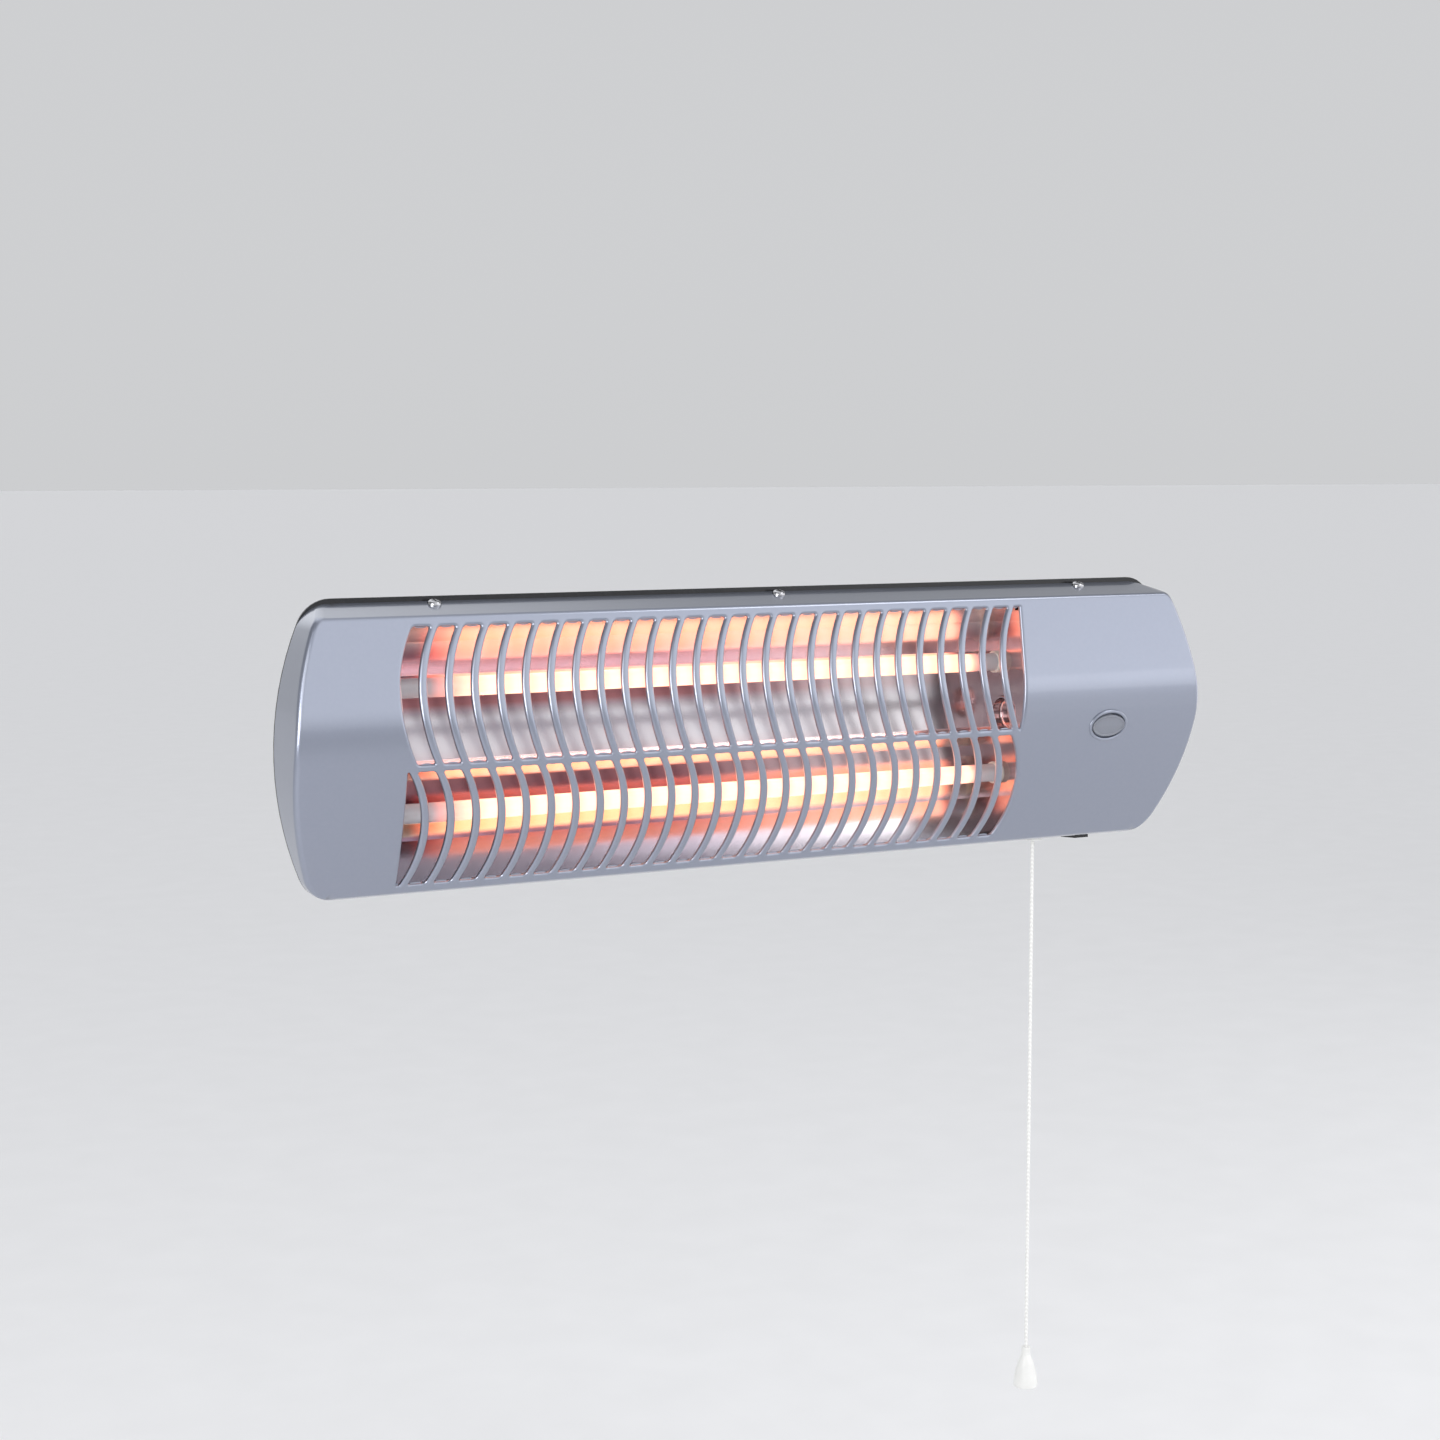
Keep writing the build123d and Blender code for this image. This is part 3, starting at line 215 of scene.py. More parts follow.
def heat_along(s, left, right):
    """A factor that is 1 along the heated length and fades out between two X places at each end."""
    x = s.axes()["X"]
    heat = s.node("ShaderNodeMath", operation="MULTIPLY")
    s.link(s.ramp(x, 0.0, 1.0, *left), heat.inputs[0])
    s.link(s.ramp(x, 1.0, 0.0, *right), heat.inputs[1])
    return heat.outputs[0]


def quartz_with_painted_glow(name):
    """Milky quartz with painted glow: emission and a pink base colour along the heated length stand in for
    the coil's light seen through the glass.
    """
    s = Shader(name)
    s.roughness(s.noise(300.0), 0.16, 0.24)
    s.set(Transmission_Weight=0.45, IOR=1.46)
    heat = heat_along(s, (-0.190, -0.165), (0.132, 0.139))
    s.colour(heat, (0.93, 0.93, 0.97), (0.72, 0.50, 0.47))
    # Painted bands of the coil's turns in the glass's glow
    turns = s.wave(23.0)
    turns.inputs["Distortion"].default_value = 1.2
    painted_turn_colour = s.blend(s.ramp(turns.outputs["Fac"], 0.0, 1.0, 0.1, 0.9), (1.0, 0.46, 0.27), (1.0, 0.54, 0.37))
    s.glow(s.blend(heat, (1.0, 0.16, 0.10), painted_turn_colour), heat, 1.3)
    return s.material


def glowing_wire(name):
    """Glowing wire: the heat fades out near both ends of the winding."""
    s = Shader(name)
    s.colour(s.noise(200.0), (0.4, 0.25, 0.2), (0.5, 0.3, 0.22))
    s.set(Metallic=0.8, Roughness=0.5)
    heat = heat_along(s, (-0.194, -0.168), (0.131, 0.136))
    s.glow(s.blend(heat, (1.0, 0.08, 0.03), (1.0, 0.18, 0.05)), heat, 1.0)
    return s.material


# Painted reflections and painted shade on the reflector sheet: cream and pink bands stand in for the
# glowing tubes' reflections, and dark red and brown bands stand in for shade and dark reflections beside
# the tubes, as (z in metres, colour) from the low edge to the top edge
PAINTED_REFLECTION_BANDS = (
    (-0.0700, (0.33, 0.31, 0.35)),
    (-0.0520, (0.28, 0.23, 0.28)),
    (-0.0470, (0.27, 0.16, 0.22)),
    (-0.0450, (0.92, 0.76, 0.58)),
    (-0.0350, (0.94, 0.80, 0.62)),
    (-0.0335, (0.17, 0.10, 0.14)),
    (-0.0186, (0.38, 0.16, 0.17)),
    (-0.0180, (0.94, 0.82, 0.70)),
    (-0.0122, (0.94, 0.82, 0.70)),
    (-0.0118, (0.94, 0.76, 0.78)),
    (-0.0040, (0.95, 0.90, 0.93)),
    (0.0110, (0.93, 0.90, 0.93)),
    (0.0150, (0.60, 0.50, 0.54)),
    (0.0190, (0.46, 0.20, 0.21)),
    (0.0225, (0.40, 0.16, 0.17)),
    (0.0300, (0.86, 0.66, 0.70)),
    (0.0370, (0.84, 0.68, 0.76)),
    (0.0450, (0.72, 0.54, 0.62)),
    (0.0530, (0.80, 0.61, 0.57)),
    (0.0650, (0.84, 0.66, 0.60)),
)


def reflection_painted_sheet(name):
    """Bright reflector sheet with painted reflections of the glowing tubes and painted shade beside them,
    in bands of cream, pink, red and brown.
    """
    s = Shader(name)
    axes = s.axes()
    low, high = PAINTED_REFLECTION_BANDS[0][0], PAINTED_REFLECTION_BANDS[-1][0]
    bands = s.node("ShaderNodeValToRGB")
    elements = bands.color_ramp.elements
    for z, colour in PAINTED_REFLECTION_BANDS[1:-1]:
        elements.new((z - low) / (high - low)).color = (*colour, 1.0)
    for end in (0, -1):
        elements[end].color = (*PAINTED_REFLECTION_BANDS[end][1], 1.0)
    s.link(s.ramp(axes["Z"], 0.0, 1.0, low, high), bands.inputs["Fac"])
    # Towards the right, the painted reflection bands fade part way to a plain pale grey
    painted_reflection_fade = s.ramp(axes["X"], 0.0, 0.55, -0.04, 0.08)
    s.colour(painted_reflection_fade, bands.outputs["Color"], (0.86, 0.83, 0.85))
    s.roughness(s.noise(60.0), 0.17, 0.21)
    s.set(Metallic=1.0)
    return s.material


def cord_fibre(name):
    s = Shader(name)
    braid = s.wave(260.0, bands_direction="DIAGONAL").outputs["Fac"]
    s.colour(braid, (0.80, 0.80, 0.78), (0.92, 0.92, 0.90))
    s.set(Roughness=0.8, Sheen_Weight=0.3)
    s.bump(braid, 0.0002, 0.8)
    return s.material


EVEN = (1, 1, 1)
ALONG_Z = (1, 1, 0.1)
COARSE = (0.05, 0.05, 0.05)
materials = {name: make(name, *values) for name, make, *values in (
    ("cover_paint", metal_paint),
    ("bezel_trim", metal_paint),
    ("lens_plastic", milky_lens),
    ("black_plastic", plain, (0.010, 0.010, 0.011), (0.016, 0.016, 0.018), 0.5),
    ("lamp_glass", clear_glass, (0.98, 0.9, 0.85), (0.9996, 0.918, 0.867)),
    ("black_paint", plain, (0.008, 0.008, 0.010), (0.014, 0.014, 0.016), 0.22, 700.0),
    ("screw_steel", brushed, (0.42, 0.42, 0.44), (0.52, 0.52, 0.54), 0.14, EVEN),
    ("reflector_sheet", reflection_painted_sheet),
    ("polished_plate", brushed, (0.46, 0.34, 0.35), (0.64, 0.51, 0.51), 0.13, COARSE, 0.0),
    ("cap_ceramic", plain, (0.78, 0.75, 0.68), (0.86, 0.83, 0.77), 0.6, 300.0),
    ("quartz_glass", quartz_with_painted_glow),
    ("glowing_coil", glowing_wire),
    ("spring_steel", brushed, (0.5, 0.5, 0.52), (0.65, 0.65, 0.67), 0.25, ALONG_Z),
    ("white_plastic", plain, (0.80, 0.80, 0.78), (0.86, 0.86, 0.84), 0.35, 150.0),
    ("cord_fibre", cord_fibre),
    ("brass_parts", brushed, (0.65, 0.46, 0.2), (0.75, 0.55, 0.27), 0.25, ALONG_Z),
    ("wire_sleeve", plain, (0.68, 0.65, 0.56), (0.8, 0.77, 0.68), 0.8, 900.0, 0.0001),
    ("fibre_washer", plain, (0.05, 0.035, 0.025), (0.09, 0.06, 0.045), 0.8, 700.0),
)}

for entry in frame["record"]["subparts"]:
    node = nodes[entry["node"]]
    node.data.materials.clear()
    node.data.materials.append(materials[entry["material_slot"]])


# Mesh helpers
X_WAY = np.array((1.0, 0.0, 0.0))


def unit(vectors):
    size = np.linalg.norm(vectors, axis=-1, keepdims=True)
    return vectors / np.maximum(size, 1e-9)


def full_turn(count):
    """Evenly spaced angles round a closed loop."""
    return np.linspace(0, 2 * math.pi, count, endpoint=False)


def add_mesh(name, points, faces, material):
    data = bpy.data.meshes.new(name)
    data.from_pydata(points, [], faces)
    data.materials.append(material)
    made = bpy.data.objects.new(name, data)
    scene.collection.objects.link(made)
    return made


class Skin:
    """Collects points in millimetres with their normals, and faces, for one mesh."""

    def __init__(self):
        self.points, self.normals, self.faces = [], [], []
        self.count = 0

    def add(self, points, normals):
        """Add an array of points, and return their numbers in the same shape."""
        points = np.asarray(points, float)
        first = self.count
        self.points.append(points.reshape(-1, 3))
        self.normals.append(np.broadcast_to(normals, points.shape).reshape(-1, 3))
        self.count += len(self.points[-1])
        return np.arange(first, self.count).reshape(points.shape[:-1])

    def strip(self, first, second, closed=False, flip=False):
        """Quads between two rows of point numbers."""
        size = len(first)
        for k in range(size if closed else size - 1):
            n = (k + 1) % size
            quad = (first[k], first[n], second[n], second[k])
            self.faces.append(quad[::-1] if flip else quad)

    def build(self, name, material):
        points = (np.concatenate(self.points) * MM).tolist()
        made = add_mesh(name, points, [[int(i) for i in face] for face in self.faces], material)
        smooth(made)
        made.data.normals_split_custom_set_from_vertices(unit(np.concatenate(self.normals)).tolist())
        return made


def smooth(made):
    for face in made.data.polygons:
        face.use_smooth = True


# Pressed front cover, in millimetres as (x, depth in front of the rim, z)
RIM_Y = -62.0
HALF_LENGTH = 270.0
COVER_TOP = 72.5
END_RADIUS = 165.0
CORNER_RADIUS = 18.0
EDGE_RADIUS = 2.8
FULL_EDGE_DEPTH = 8.0  # the ends' edges are rounded less where the cover is shallower
SHEET = 1.0

# Its section, from the top flange down to the low lip
FLANGE_DEPTH = 21.5
FLANGE_DROP = 6.0
FACET_TILT = math.radians(12.5)
LOWER_TILT = math.radians(16.0)
FOLD_RADIUS = 60.0
LOWER_RADIUS = 350.0
LIP_TOP = -71.3
LIP_DEPTH = 3.2
LIP_DROP = 1.2

# Its slots in two rows, each as (top z, low z), with ribs between them
UPPER_ROW = (61.65, -5.45)
LOWER_ROW = (-8.85, -67.75)
BETWEEN_ROWS = -7.15
RIBS = 26
RIB_PITCH = 13.6
RIB_HALF = 2.1
FIRST_RIB_X = -209.0

SLOT_CORNER = 1.4
FIELD_CORNER = 0.3

# The slots' rolled edges; the weight makes each corner's curve about circular
ROUND_WEIGHT = 0.707
ROUND_ACROSS = 1.9
ROUND_UP = 1.6
ROUND_DEPTH = 1.3
COLLAR_TOP = 1.65
COLLAR_DEPTH = 2.0
COLLAR_LEAN = 0.35
TONGUE = 0.55
HEM = 0.8

# The indicator's window
WINDOW_X = 206.9
WINDOW_Z = -6.35
WINDOW_HALF = (12.4, 7.9)


def section_table(step=0.02):
    """The cover's section as arrays of path length, depth, z and the normal's elevation."""
    flange = math.atan2(FLANGE_DEPTH, FLANGE_DROP)
    flange_length = math.hypot(FLANGE_DEPTH, FLANGE_DROP)
    bend_turn = flange - FACET_TILT
    bend_cut = EDGE_RADIUS * math.tan(bend_turn / 2)

    def low_end(facet_drop):
        """Depth and tilt where the lower face reaches the lip, below a facet of the given height."""
        depth = FLANGE_DEPTH + facet_drop * math.tan(FACET_TILT)
        z = COVER_TOP - FLANGE_DROP - facet_drop
        join_depth = depth + FOLD_RADIUS * (math.cos(LOWER_TILT) - math.cos(FACET_TILT))
        join_z = z - FOLD_RADIUS * (math.sin(FACET_TILT) + math.sin(LOWER_TILT))
        centre_z = join_z + LOWER_RADIUS * math.sin(LOWER_TILT)
        last = math.asin((centre_z - LIP_TOP) / LOWER_RADIUS)
        return join_depth + LOWER_RADIUS * (math.cos(last) - math.cos(LOWER_TILT)), last

    low, high = 1.0, 66.0
    for _ in range(50):
        guess = (low + high) / 2
        if low_end(guess)[0] > LIP_DEPTH:
            high = guess
        else:
            low = guess
    last = low_end(guess)[1]
    lip = math.atan2(LIP_DEPTH, LIP_DROP)
    lip_cut = EDGE_RADIUS * math.tan((lip - last) / 2)
    pieces = [  # (length, curvature)
        (flange_length - bend_cut, 0.0),
        (EDGE_RADIUS * bend_turn, 1.0 / EDGE_RADIUS),
        (guess / math.cos(FACET_TILT) - bend_cut, 0.0),
        (FOLD_RADIUS * (FACET_TILT + LOWER_TILT), 1.0 / FOLD_RADIUS),
        (LOWER_RADIUS * (last - LOWER_TILT) - lip_cut, 1.0 / LOWER_RADIUS),
        (EDGE_RADIUS * (lip - last), 1.0 / EDGE_RADIUS),
        (math.hypot(LIP_DEPTH, LIP_DROP) - lip_cut, 0.0),
    ]
    length, depth, z, elevation = 0.0, 0.0, COVER_TOP, flange
    rows = [(length, depth, z, elevation)]
    marks = [0.0]
    for run, curve in pieces:
        count = max(2, int(run / step))
        part = run / count
        for _ in range(count):
            middle = elevation - curve * part / 2
            depth += part * math.sin(middle)
            z -= part * math.cos(middle)
            elevation -= curve * part
            length += part
            rows.append((length, depth, z, elevation))
        marks.append(length)
    return np.array(rows).T, marks


(PATH_LENGTH, PATH_DEPTH, PATH_Z, PATH_RISE), MARKS = section_table()


def at_height(z, values):
    """One of the section's arrays at height z."""
    return np.interp(-np.asarray(z, float), -PATH_Z, values)


def surface(x, v, drop=0.0):
    """World points and outward normals of the face at (x, path length), sunk by drop."""
    x, v, drop = np.broadcast_arrays(np.asarray(x, float), v, drop)
    depth, z, rise = (np.interp(v, PATH_LENGTH, values) for values in (PATH_DEPTH, PATH_Z, PATH_RISE))
    normal = np.stack((np.zeros_like(x), -np.cos(rise), np.sin(rise)), -1)
    point = np.stack((x, RIM_Y - depth, z), -1) - normal * drop[..., None]
    return point, normal


def rib_line(z):
    """X of the first rib's middle line at height z."""
    if z > BETWEEN_ROWS:
        (high, deep), bow, shift, start = UPPER_ROW, 8.7, -0.6, 0.0
    else:
        (high, deep), bow, shift, start = LOWER_ROW, -8.1, 3.2, -0.6
    half = (high - deep) / 2
    radius = (half**2 + bow**2) / (2 * abs(bow))
    swell = math.sqrt(radius**2 - (z - (high + deep) / 2) ** 2) - (radius - abs(bow))
    return FIRST_RIB_X - math.copysign(swell, bow) + start + shift * (high - z) / (high - deep)


def slots():
    """Each slot as (left side, right side, top, low end, corner size)."""

    def rib(number, side):
        return lambda z: rib_line(z) + number * RIB_PITCH + side * RIB_HALF

    def straight(side, widths, high, deep):
        start, stop = side(high) + widths[0], side(deep) + widths[1]
        return lambda z: start + (stop - start) * (high - z) / (high - deep)

    found = []
    for number in range(RIBS):
        for high, deep in (UPPER_ROW, LOWER_ROW):
            found.append((rib(number, 1), rib(number + 1, -1), high, deep, SLOT_CORNER))
    last, first = rib(RIBS, 1), rib(0, -1)
    found.append((last, straight(last, (3.8, 0.9), *UPPER_ROW), *UPPER_ROW, FIELD_CORNER))
    found.append((straight(first, (-0.7, -1.7), *LOWER_ROW), first, *LOWER_ROW, FIELD_CORNER))
    return found


def slot_loop(left, right, high, deep, corner):
    """A slot's edge, clockwise from the top left: points (x, v), outward reach and tongue depth."""
    points, reach, tongue = [], [], []
    top_v, low_v = (float(at_height(z, PATH_LENGTH)) for z in (high, deep))

    def across(first, last, v, way):
        """The top (way 1) or low end (way -1), with a tongue that swells at its middle."""
        for step in range(1, 6):
            u = step / 6
            points.append((first + (last - first) * u, v))
            reach.append((0.0, -ROUND_UP * way))
            tongue.append((0.0, way * (1 - (2 * u - 1) ** 2)))

    def round_corner(side, way, outward, rising):
        v, z = (top_v, high) if way > 0 else (low_v, deep)
        tip, near = side(z), side(z - way * corner)
        ends = [np.array((near, float(at_height(z - way * corner, PATH_LENGTH)))),
                np.array((tip - outward * corner, v))]
        middle = np.array((tip, v))
        for step in range(5):
            t = step / 4 if rising else 1 - step / 4
            weight = ROUND_WEIGHT * 2 * t * (1 - t)
            total = (1 - t) ** 2 + weight + t**2
            points.append(tuple((ends[0] * (1 - t) ** 2 + middle * weight + ends[1] * t**2) / total))
            turn = t * math.pi / 2
            reach.append((outward * ROUND_ACROSS * math.cos(turn), -way * ROUND_UP * math.sin(turn)))
            tongue.append((0.0, 0.0))

    def along(side, start, stop, outward):
        for z in np.linspace(start, stop, 18)[1:-1]:
            points.append((side(z), float(at_height(z, PATH_LENGTH))))
            reach.append((outward * ROUND_ACROSS, 0.0))
            tongue.append((0.0, 0.0))

    round_corner(left, 1, -1, True)
    across(left(high) + corner, right(high) - corner, top_v, 1)
    round_corner(right, 1, 1, False)
    along(right, high - corner, deep + corner, 1)
    round_corner(right, -1, 1, True)
    across(right(deep) - corner, left(deep) + corner, low_v, -1)
    round_corner(left, -1, -1, False)
    along(left, deep + corner, high - corner, -1)
    return np.array(points), np.array(reach), np.array(tongue)


def end_samples():
    """The right end's outline as centre x, centre z, radius and angle, from the top down."""
    rise = COVER_TOP - CORNER_RADIUS
    run = math.sqrt((END_RADIUS - CORNER_RADIUS) ** 2 - rise**2)
    centre = HALF_LENGTH - END_RADIUS
    joint = math.atan2(rise, run)
    rows = [(centre + run, rise, CORNER_RADIUS, a) for a in np.linspace(math.pi / 2, joint, 19)]
    rows += [(centre, 0.0, END_RADIUS, a) for a in np.linspace(joint, -joint, 27)[1:]]
    rows += [(centre + run, -rise, CORNER_RADIUS, a) for a in np.linspace(-joint, -math.pi / 2, 19)[1:]]
    return np.array(rows).T


def end_edge(turn):
    """X, z, depth and normals of the right end's rounded edge, a turn away from the face."""
    centre_x, centre_z, reach, angle = end_samples()
    share = np.clip(at_height(centre_z + reach * np.sin(angle), PATH_DEPTH) / FULL_EDGE_DEPTH, 0, 1)
    radius = EDGE_RADIUS * share**2 * (3 - 2 * share)
    reach = reach - radius * (1 - math.sin(turn))
    x = centre_x + reach * np.cos(angle)
    z = centre_z + reach * np.sin(angle)
    depth = np.maximum(at_height(z, PATH_DEPTH) - radius * (1 - math.cos(turn)), 0.0)
    slope = math.cos(turn) * np.tan(at_height(z, PATH_RISE))
    normal = np.stack((math.sin(turn) * np.cos(angle), np.full(len(x), -math.cos(turn)),
                       math.sin(turn) * np.sin(angle) + slope), -1)
    return x, z, depth, unit(normal)


def inside(point, loop):
    """Whether a flat point is within a closed loop."""
    x, y = point
    found = False
    for (x1, y1), (x2, y2) in zip(loop, np.roll(loop, -1, 0)):
        if (y1 > y) != (y2 > y) and x < (x2 - x1) * (y - y1) / (y2 - y1) + x1:
            found = not found
    return found


def triangulate(boundary, holes, rows):
    """Triangles of a flat region with holes, through all the points given."""
    loops = [boundary, *holes]
    points = np.concatenate([*loops, *rows])
    owner = np.concatenate([np.full(len(loop), i) for i, loop in enumerate(loops)]
                           + [np.full(sum(map(len, rows)), -1)])
    edges = []
    start = 0
    for loop in loops:
        size = len(loop)
        edges += [(start + k, start + (k + 1) % size) for k in range(size)]
        start += size
    for row in rows:
        edges += [(start + k, start + k + 1) for k in range(len(row) - 1)]
        start += len(row)
    flat = [Vector((x, -v)) for x, v in points]
    got = delaunay_2d_cdt(flat, edges, [], 0, 1e-6, True)
    assert len(got[0]) == len(points)
    order = [origin[0] for origin in got[3]]
    kept = []
    for face in got[2]:
        face = [order[i] for i in face]
        own = owner[face[0]]
        if own >= 0 and all(owner[i] == own for i in face):
            within = inside(points[face].mean(0), loops[own])
            if within != (own == 0):
                continue
        kept.append(face)
    return points, kept


def face_rows(window_v):
    """Rows of extra points that hold the curved face's shape, clear of the slots and the window."""
    apart, longest_step, edge_gap = 6.0, 9.0, 1.2
    slots_low, slots_top = -70.0, 63.9
    window_clear = (15.0, 10.5)
    centre_x, centre_z, reach, angle = end_samples()
    edge_v = at_height(centre_z + (reach - EDGE_RADIUS) * np.sin(angle), PATH_LENGTH)
    edge_x = centre_x + (reach - EDGE_RADIUS) * np.cos(angle)
    levels = [*np.linspace(5.0, MARKS[1], 4), *np.linspace(MARKS[1], MARKS[2], 8)[1:],
              *np.linspace(MARKS[2], MARKS[5], 36)[1:], *np.linspace(MARKS[5], MARKS[6], 6)[1:]]
    rows = []
    for v in levels:
        z = float(np.interp(v, PATH_LENGTH, PATH_Z))
        stop = float(np.interp(v, edge_v, edge_x)) - edge_gap
        whole = np.linspace(-stop, stop, int(2 * stop / apart))
        parts = [whole]
        if slots_low < z < slots_top:
            left_limit = min(rib_line(z) - 6.5, -217.0)
            right_limit = max(rib_line(z) + RIBS * RIB_PITCH + 10.0, 155.5)
            parts = [whole[whole < left_limit], whole[whole > right_limit]]
        for part in parts:
            keep = [x for x in part if ((x - WINDOW_X) / window_clear[0]) ** 2
                    + ((v - window_v) / window_clear[1]) ** 2 > 1]
            gaps = [i + 1 for i in range(len(keep) - 1) if keep[i + 1] - keep[i] > longest_step]
            for piece in np.split(np.array(keep), gaps):
                if len(piece):
                    rows.append(np.stack((piece, np.full(len(piece), v)), -1))
    return rows


def behind_face(place, normal):
    """The sheet's inner side, kept in front of the rim."""
    within = place - normal * SHEET
    within[:, 1] = np.minimum(within[:, 1], RIM_Y)
    return within


def cover_end(skin, side, row, inner):
    """One end: the rounded edge, then the wall back to the rim. Side is 1 for the right end."""
    flip = side < 0

    def next_rows(place, within, normal):
        new, new_inner = skin.add(place, normal), skin.add(within, -normal)
        skin.strip(row, new, flip=flip)
        skin.strip(inner, new_inner, flip=not flip)
        return new, new_inner

    for turn in np.linspace(0, math.pi / 2, 8)[1:]:
        x, z, depth, normal = end_edge(turn)
        normal = normal * (side, 1, 1)
        place = np.stack((x * side, RIM_Y - depth, z), -1)
        within = behind_face(place, normal)
        row, inner = next_rows(place, within, normal)
    for share in (0.5, 1.0):
        low_place, low_within = place.copy(), within.copy()
        for low, wall in ((low_place, place), (low_within, within)):
            low[:, 1] = RIM_Y - (RIM_Y - wall[:, 1]) * (1 - share)
        row, inner = next_rows(low_place, low_within, normal)
    skin.strip(row, inner, flip=flip)


def rolled_level(points, drop, along_slot, deeper):
    """A ring of a slot's rolled edge, sunk by drop, where the sheet runs along and deeper."""
    place, face_normal = surface(points[:, 0], points[:, 1], drop)
    down = np.cross(face_normal, X_WAY)
    change = along_slot[:, :1] * X_WAY + along_slot[:, 1:] * down * -1 - face_normal * deeper
    ahead = np.roll(place, -1, 0) - np.roll(place, 1, 0)
    return place, unit(np.cross(change, ahead))


def slot_edge(skin, points, reach, tongue, before, back):
    """One slot's rolled edge, from the face down to its collar and out under the sheet."""

    def close(before, place, normal):
        after = skin.add(place, normal)
        skin.strip(before, after, closed=True, flip=True)
        return after

    for turn in np.linspace(0, math.pi / 2, 6)[1:]:
        before = close(before, *rolled_level(
            points + reach * (1 - math.sin(turn)), ROUND_DEPTH * (1 - math.cos(turn)),
            -reach * math.cos(turn), ROUND_DEPTH * math.sin(turn)))
    for share, deep in ((0.3, COLLAR_TOP), (1.0, COLLAR_DEPTH)):
        before = close(before, *rolled_level(points + tongue * TONGUE * share, deep, tongue, COLLAR_LEAN))
    hem_points = points + tongue * TONGUE
    place, face_normal = surface(*hem_points.T, COLLAR_DEPTH)
    hem = skin.add(place, -face_normal)
    place, face_normal = surface(*(hem_points + unit(reach) * HEM).T, COLLAR_DEPTH)
    outer_hem = close(hem, place, -face_normal)
    skin.strip(outer_hem, back, closed=True, flip=True)


def front_cover():
    """The pressed cover: its face with the slots and the window, its ends and its rims."""
    skin = Skin()
    loops = [slot_loop(*slot) for slot in slots()]
    window_v = float(at_height(WINDOW_Z, PATH_LENGTH))
    angles = full_turn(48)
    window = np.stack((WINDOW_X + WINDOW_HALF[0] * np.cos(angles),
                       window_v + WINDOW_HALF[1] * np.sin(angles)), -1)

    x, z, _, _ = end_edge(0.0)
    right = np.stack((x, at_height(z, PATH_LENGTH)), -1)
    left = right[::-1] * (-1, 1)
    top = np.stack((np.linspace(-right[0][0], right[0][0], 90)[1:-1], np.zeros(88)), -1)
    low = top[::-1] * (1, 0) + (0, right[-1][1])
    boundary = np.concatenate((right, low, left, top))
    outer = [points + reach for points, reach, _ in loops]
    flat, triangles = triangulate(boundary, [*outer, window], face_rows(window_v))
    point, normal = surface(flat[:, 0], flat[:, 1])
    panel = skin.add(point, normal)
    back = skin.add(behind_face(point, normal), -normal)
    for a, b, c in triangles:
        skin.faces.append((panel[a], panel[b], panel[c]))
        skin.faces.append((back[a], back[c], back[b]))

    size = len(right)
    turn_over = size + len(low)
    right_edge = np.arange(size)
    left_edge = np.arange(turn_over, turn_over + size)[::-1]
    for side, edge in ((1, right_edge), (-1, left_edge)):
        cover_end(skin, side, panel[edge], back[edge])
    for first, last in ((size - 1, turn_over), (turn_over + size - 1, len(boundary))):
        rim = np.arange(first, last + 1) % len(boundary)
        skin.strip(panel[rim], back[rim])

    start = len(boundary)
    for points, reach, tongue in loops:
        ring = np.arange(start, start + len(points))
        start += len(points)
        slot_edge(skin, points, reach, tongue, panel[ring], back[ring])
    ring = np.arange(start, start + len(window))
    skin.strip(panel[ring], back[ring], closed=True, flip=True)
    return skin.build("pressed_cover", materials["cover_paint"])


# Reflector troughs, in millimetres, with each section's corners as (y, z)
UPPER_TROUGH = [(-50.0, -11.9), (-48.0, -11.9), (-43.6, -9.4),
                (-47.5, 35.0), (-66.0, 53.2), (-78.0, 62.5)]
LOWER_TROUGH = [(-62.2, -67.4), (-48.2, -48.8), (-45.0, -40.5),
                (-45.0, -18.5), (-48.0, -12.6), (-50.0, -12.6)]
TROUGH_ENDS = (-214.0, 154.0)
TROUGH_THICK = 0.6
TROUGH_BEND = 1.6


def rounded_path(corners, radius, steps=5):
    """A section's corner points with each bend rounded, as an array of (y, z)."""
    corners = [np.array(corner, float) for corner in corners]
    path = [corners[0]]
    for before, here, after in zip(corners, corners[1:], corners[2:]):
        come, go = unit(here - before), unit(after - here)
        turn = math.acos(float(np.clip(come @ go, -1, 1)))
        cut = min(radius * math.tan(turn / 2),
                  np.linalg.norm(here - before) / 2.2, np.linalg.norm(after - here) / 2.2)
        first, last = here - come * cut, here + go * cut
        for t in np.linspace(0, 1, steps):
            path.append(first * (1 - t) ** 2 + here * 2 * t * (1 - t) + last * t**2)
    return np.array([*path, corners[-1]])


def folded_sheet(name, corners, material):
    """A reflector trough between the end plates, folded from thin sheet."""
    path = rounded_path(corners, TROUGH_BEND)
    ahead = unit(np.gradient(path, axis=0))
    outward = np.stack((-ahead[:, 1], ahead[:, 0]), -1)
    zero = np.zeros(len(path))
    skin = Skin()
    rows = []
    for side, shift in ((-1, 0.0), (1, TROUGH_THICK)):
        line = path + outward * shift
        normal = np.stack((zero, outward[:, 0] * side, outward[:, 1] * side), -1)
        for x in TROUGH_ENDS:
            rows.append(skin.add(np.stack((zero + x, line[:, 0], line[:, 1]), -1), normal))
    skin.strip(rows[0], rows[1])
    skin.strip(rows[2], rows[3], flip=True)
    for end in (0, -1):
        ring = (rows[0][end], rows[1][end], rows[3][end], rows[2][end])
        skin.faces.append(ring if end else ring[::-1])
    skin.strip(rows[2], rows[0])
    skin.strip(rows[1], rows[3])
    return skin.build(name, material)


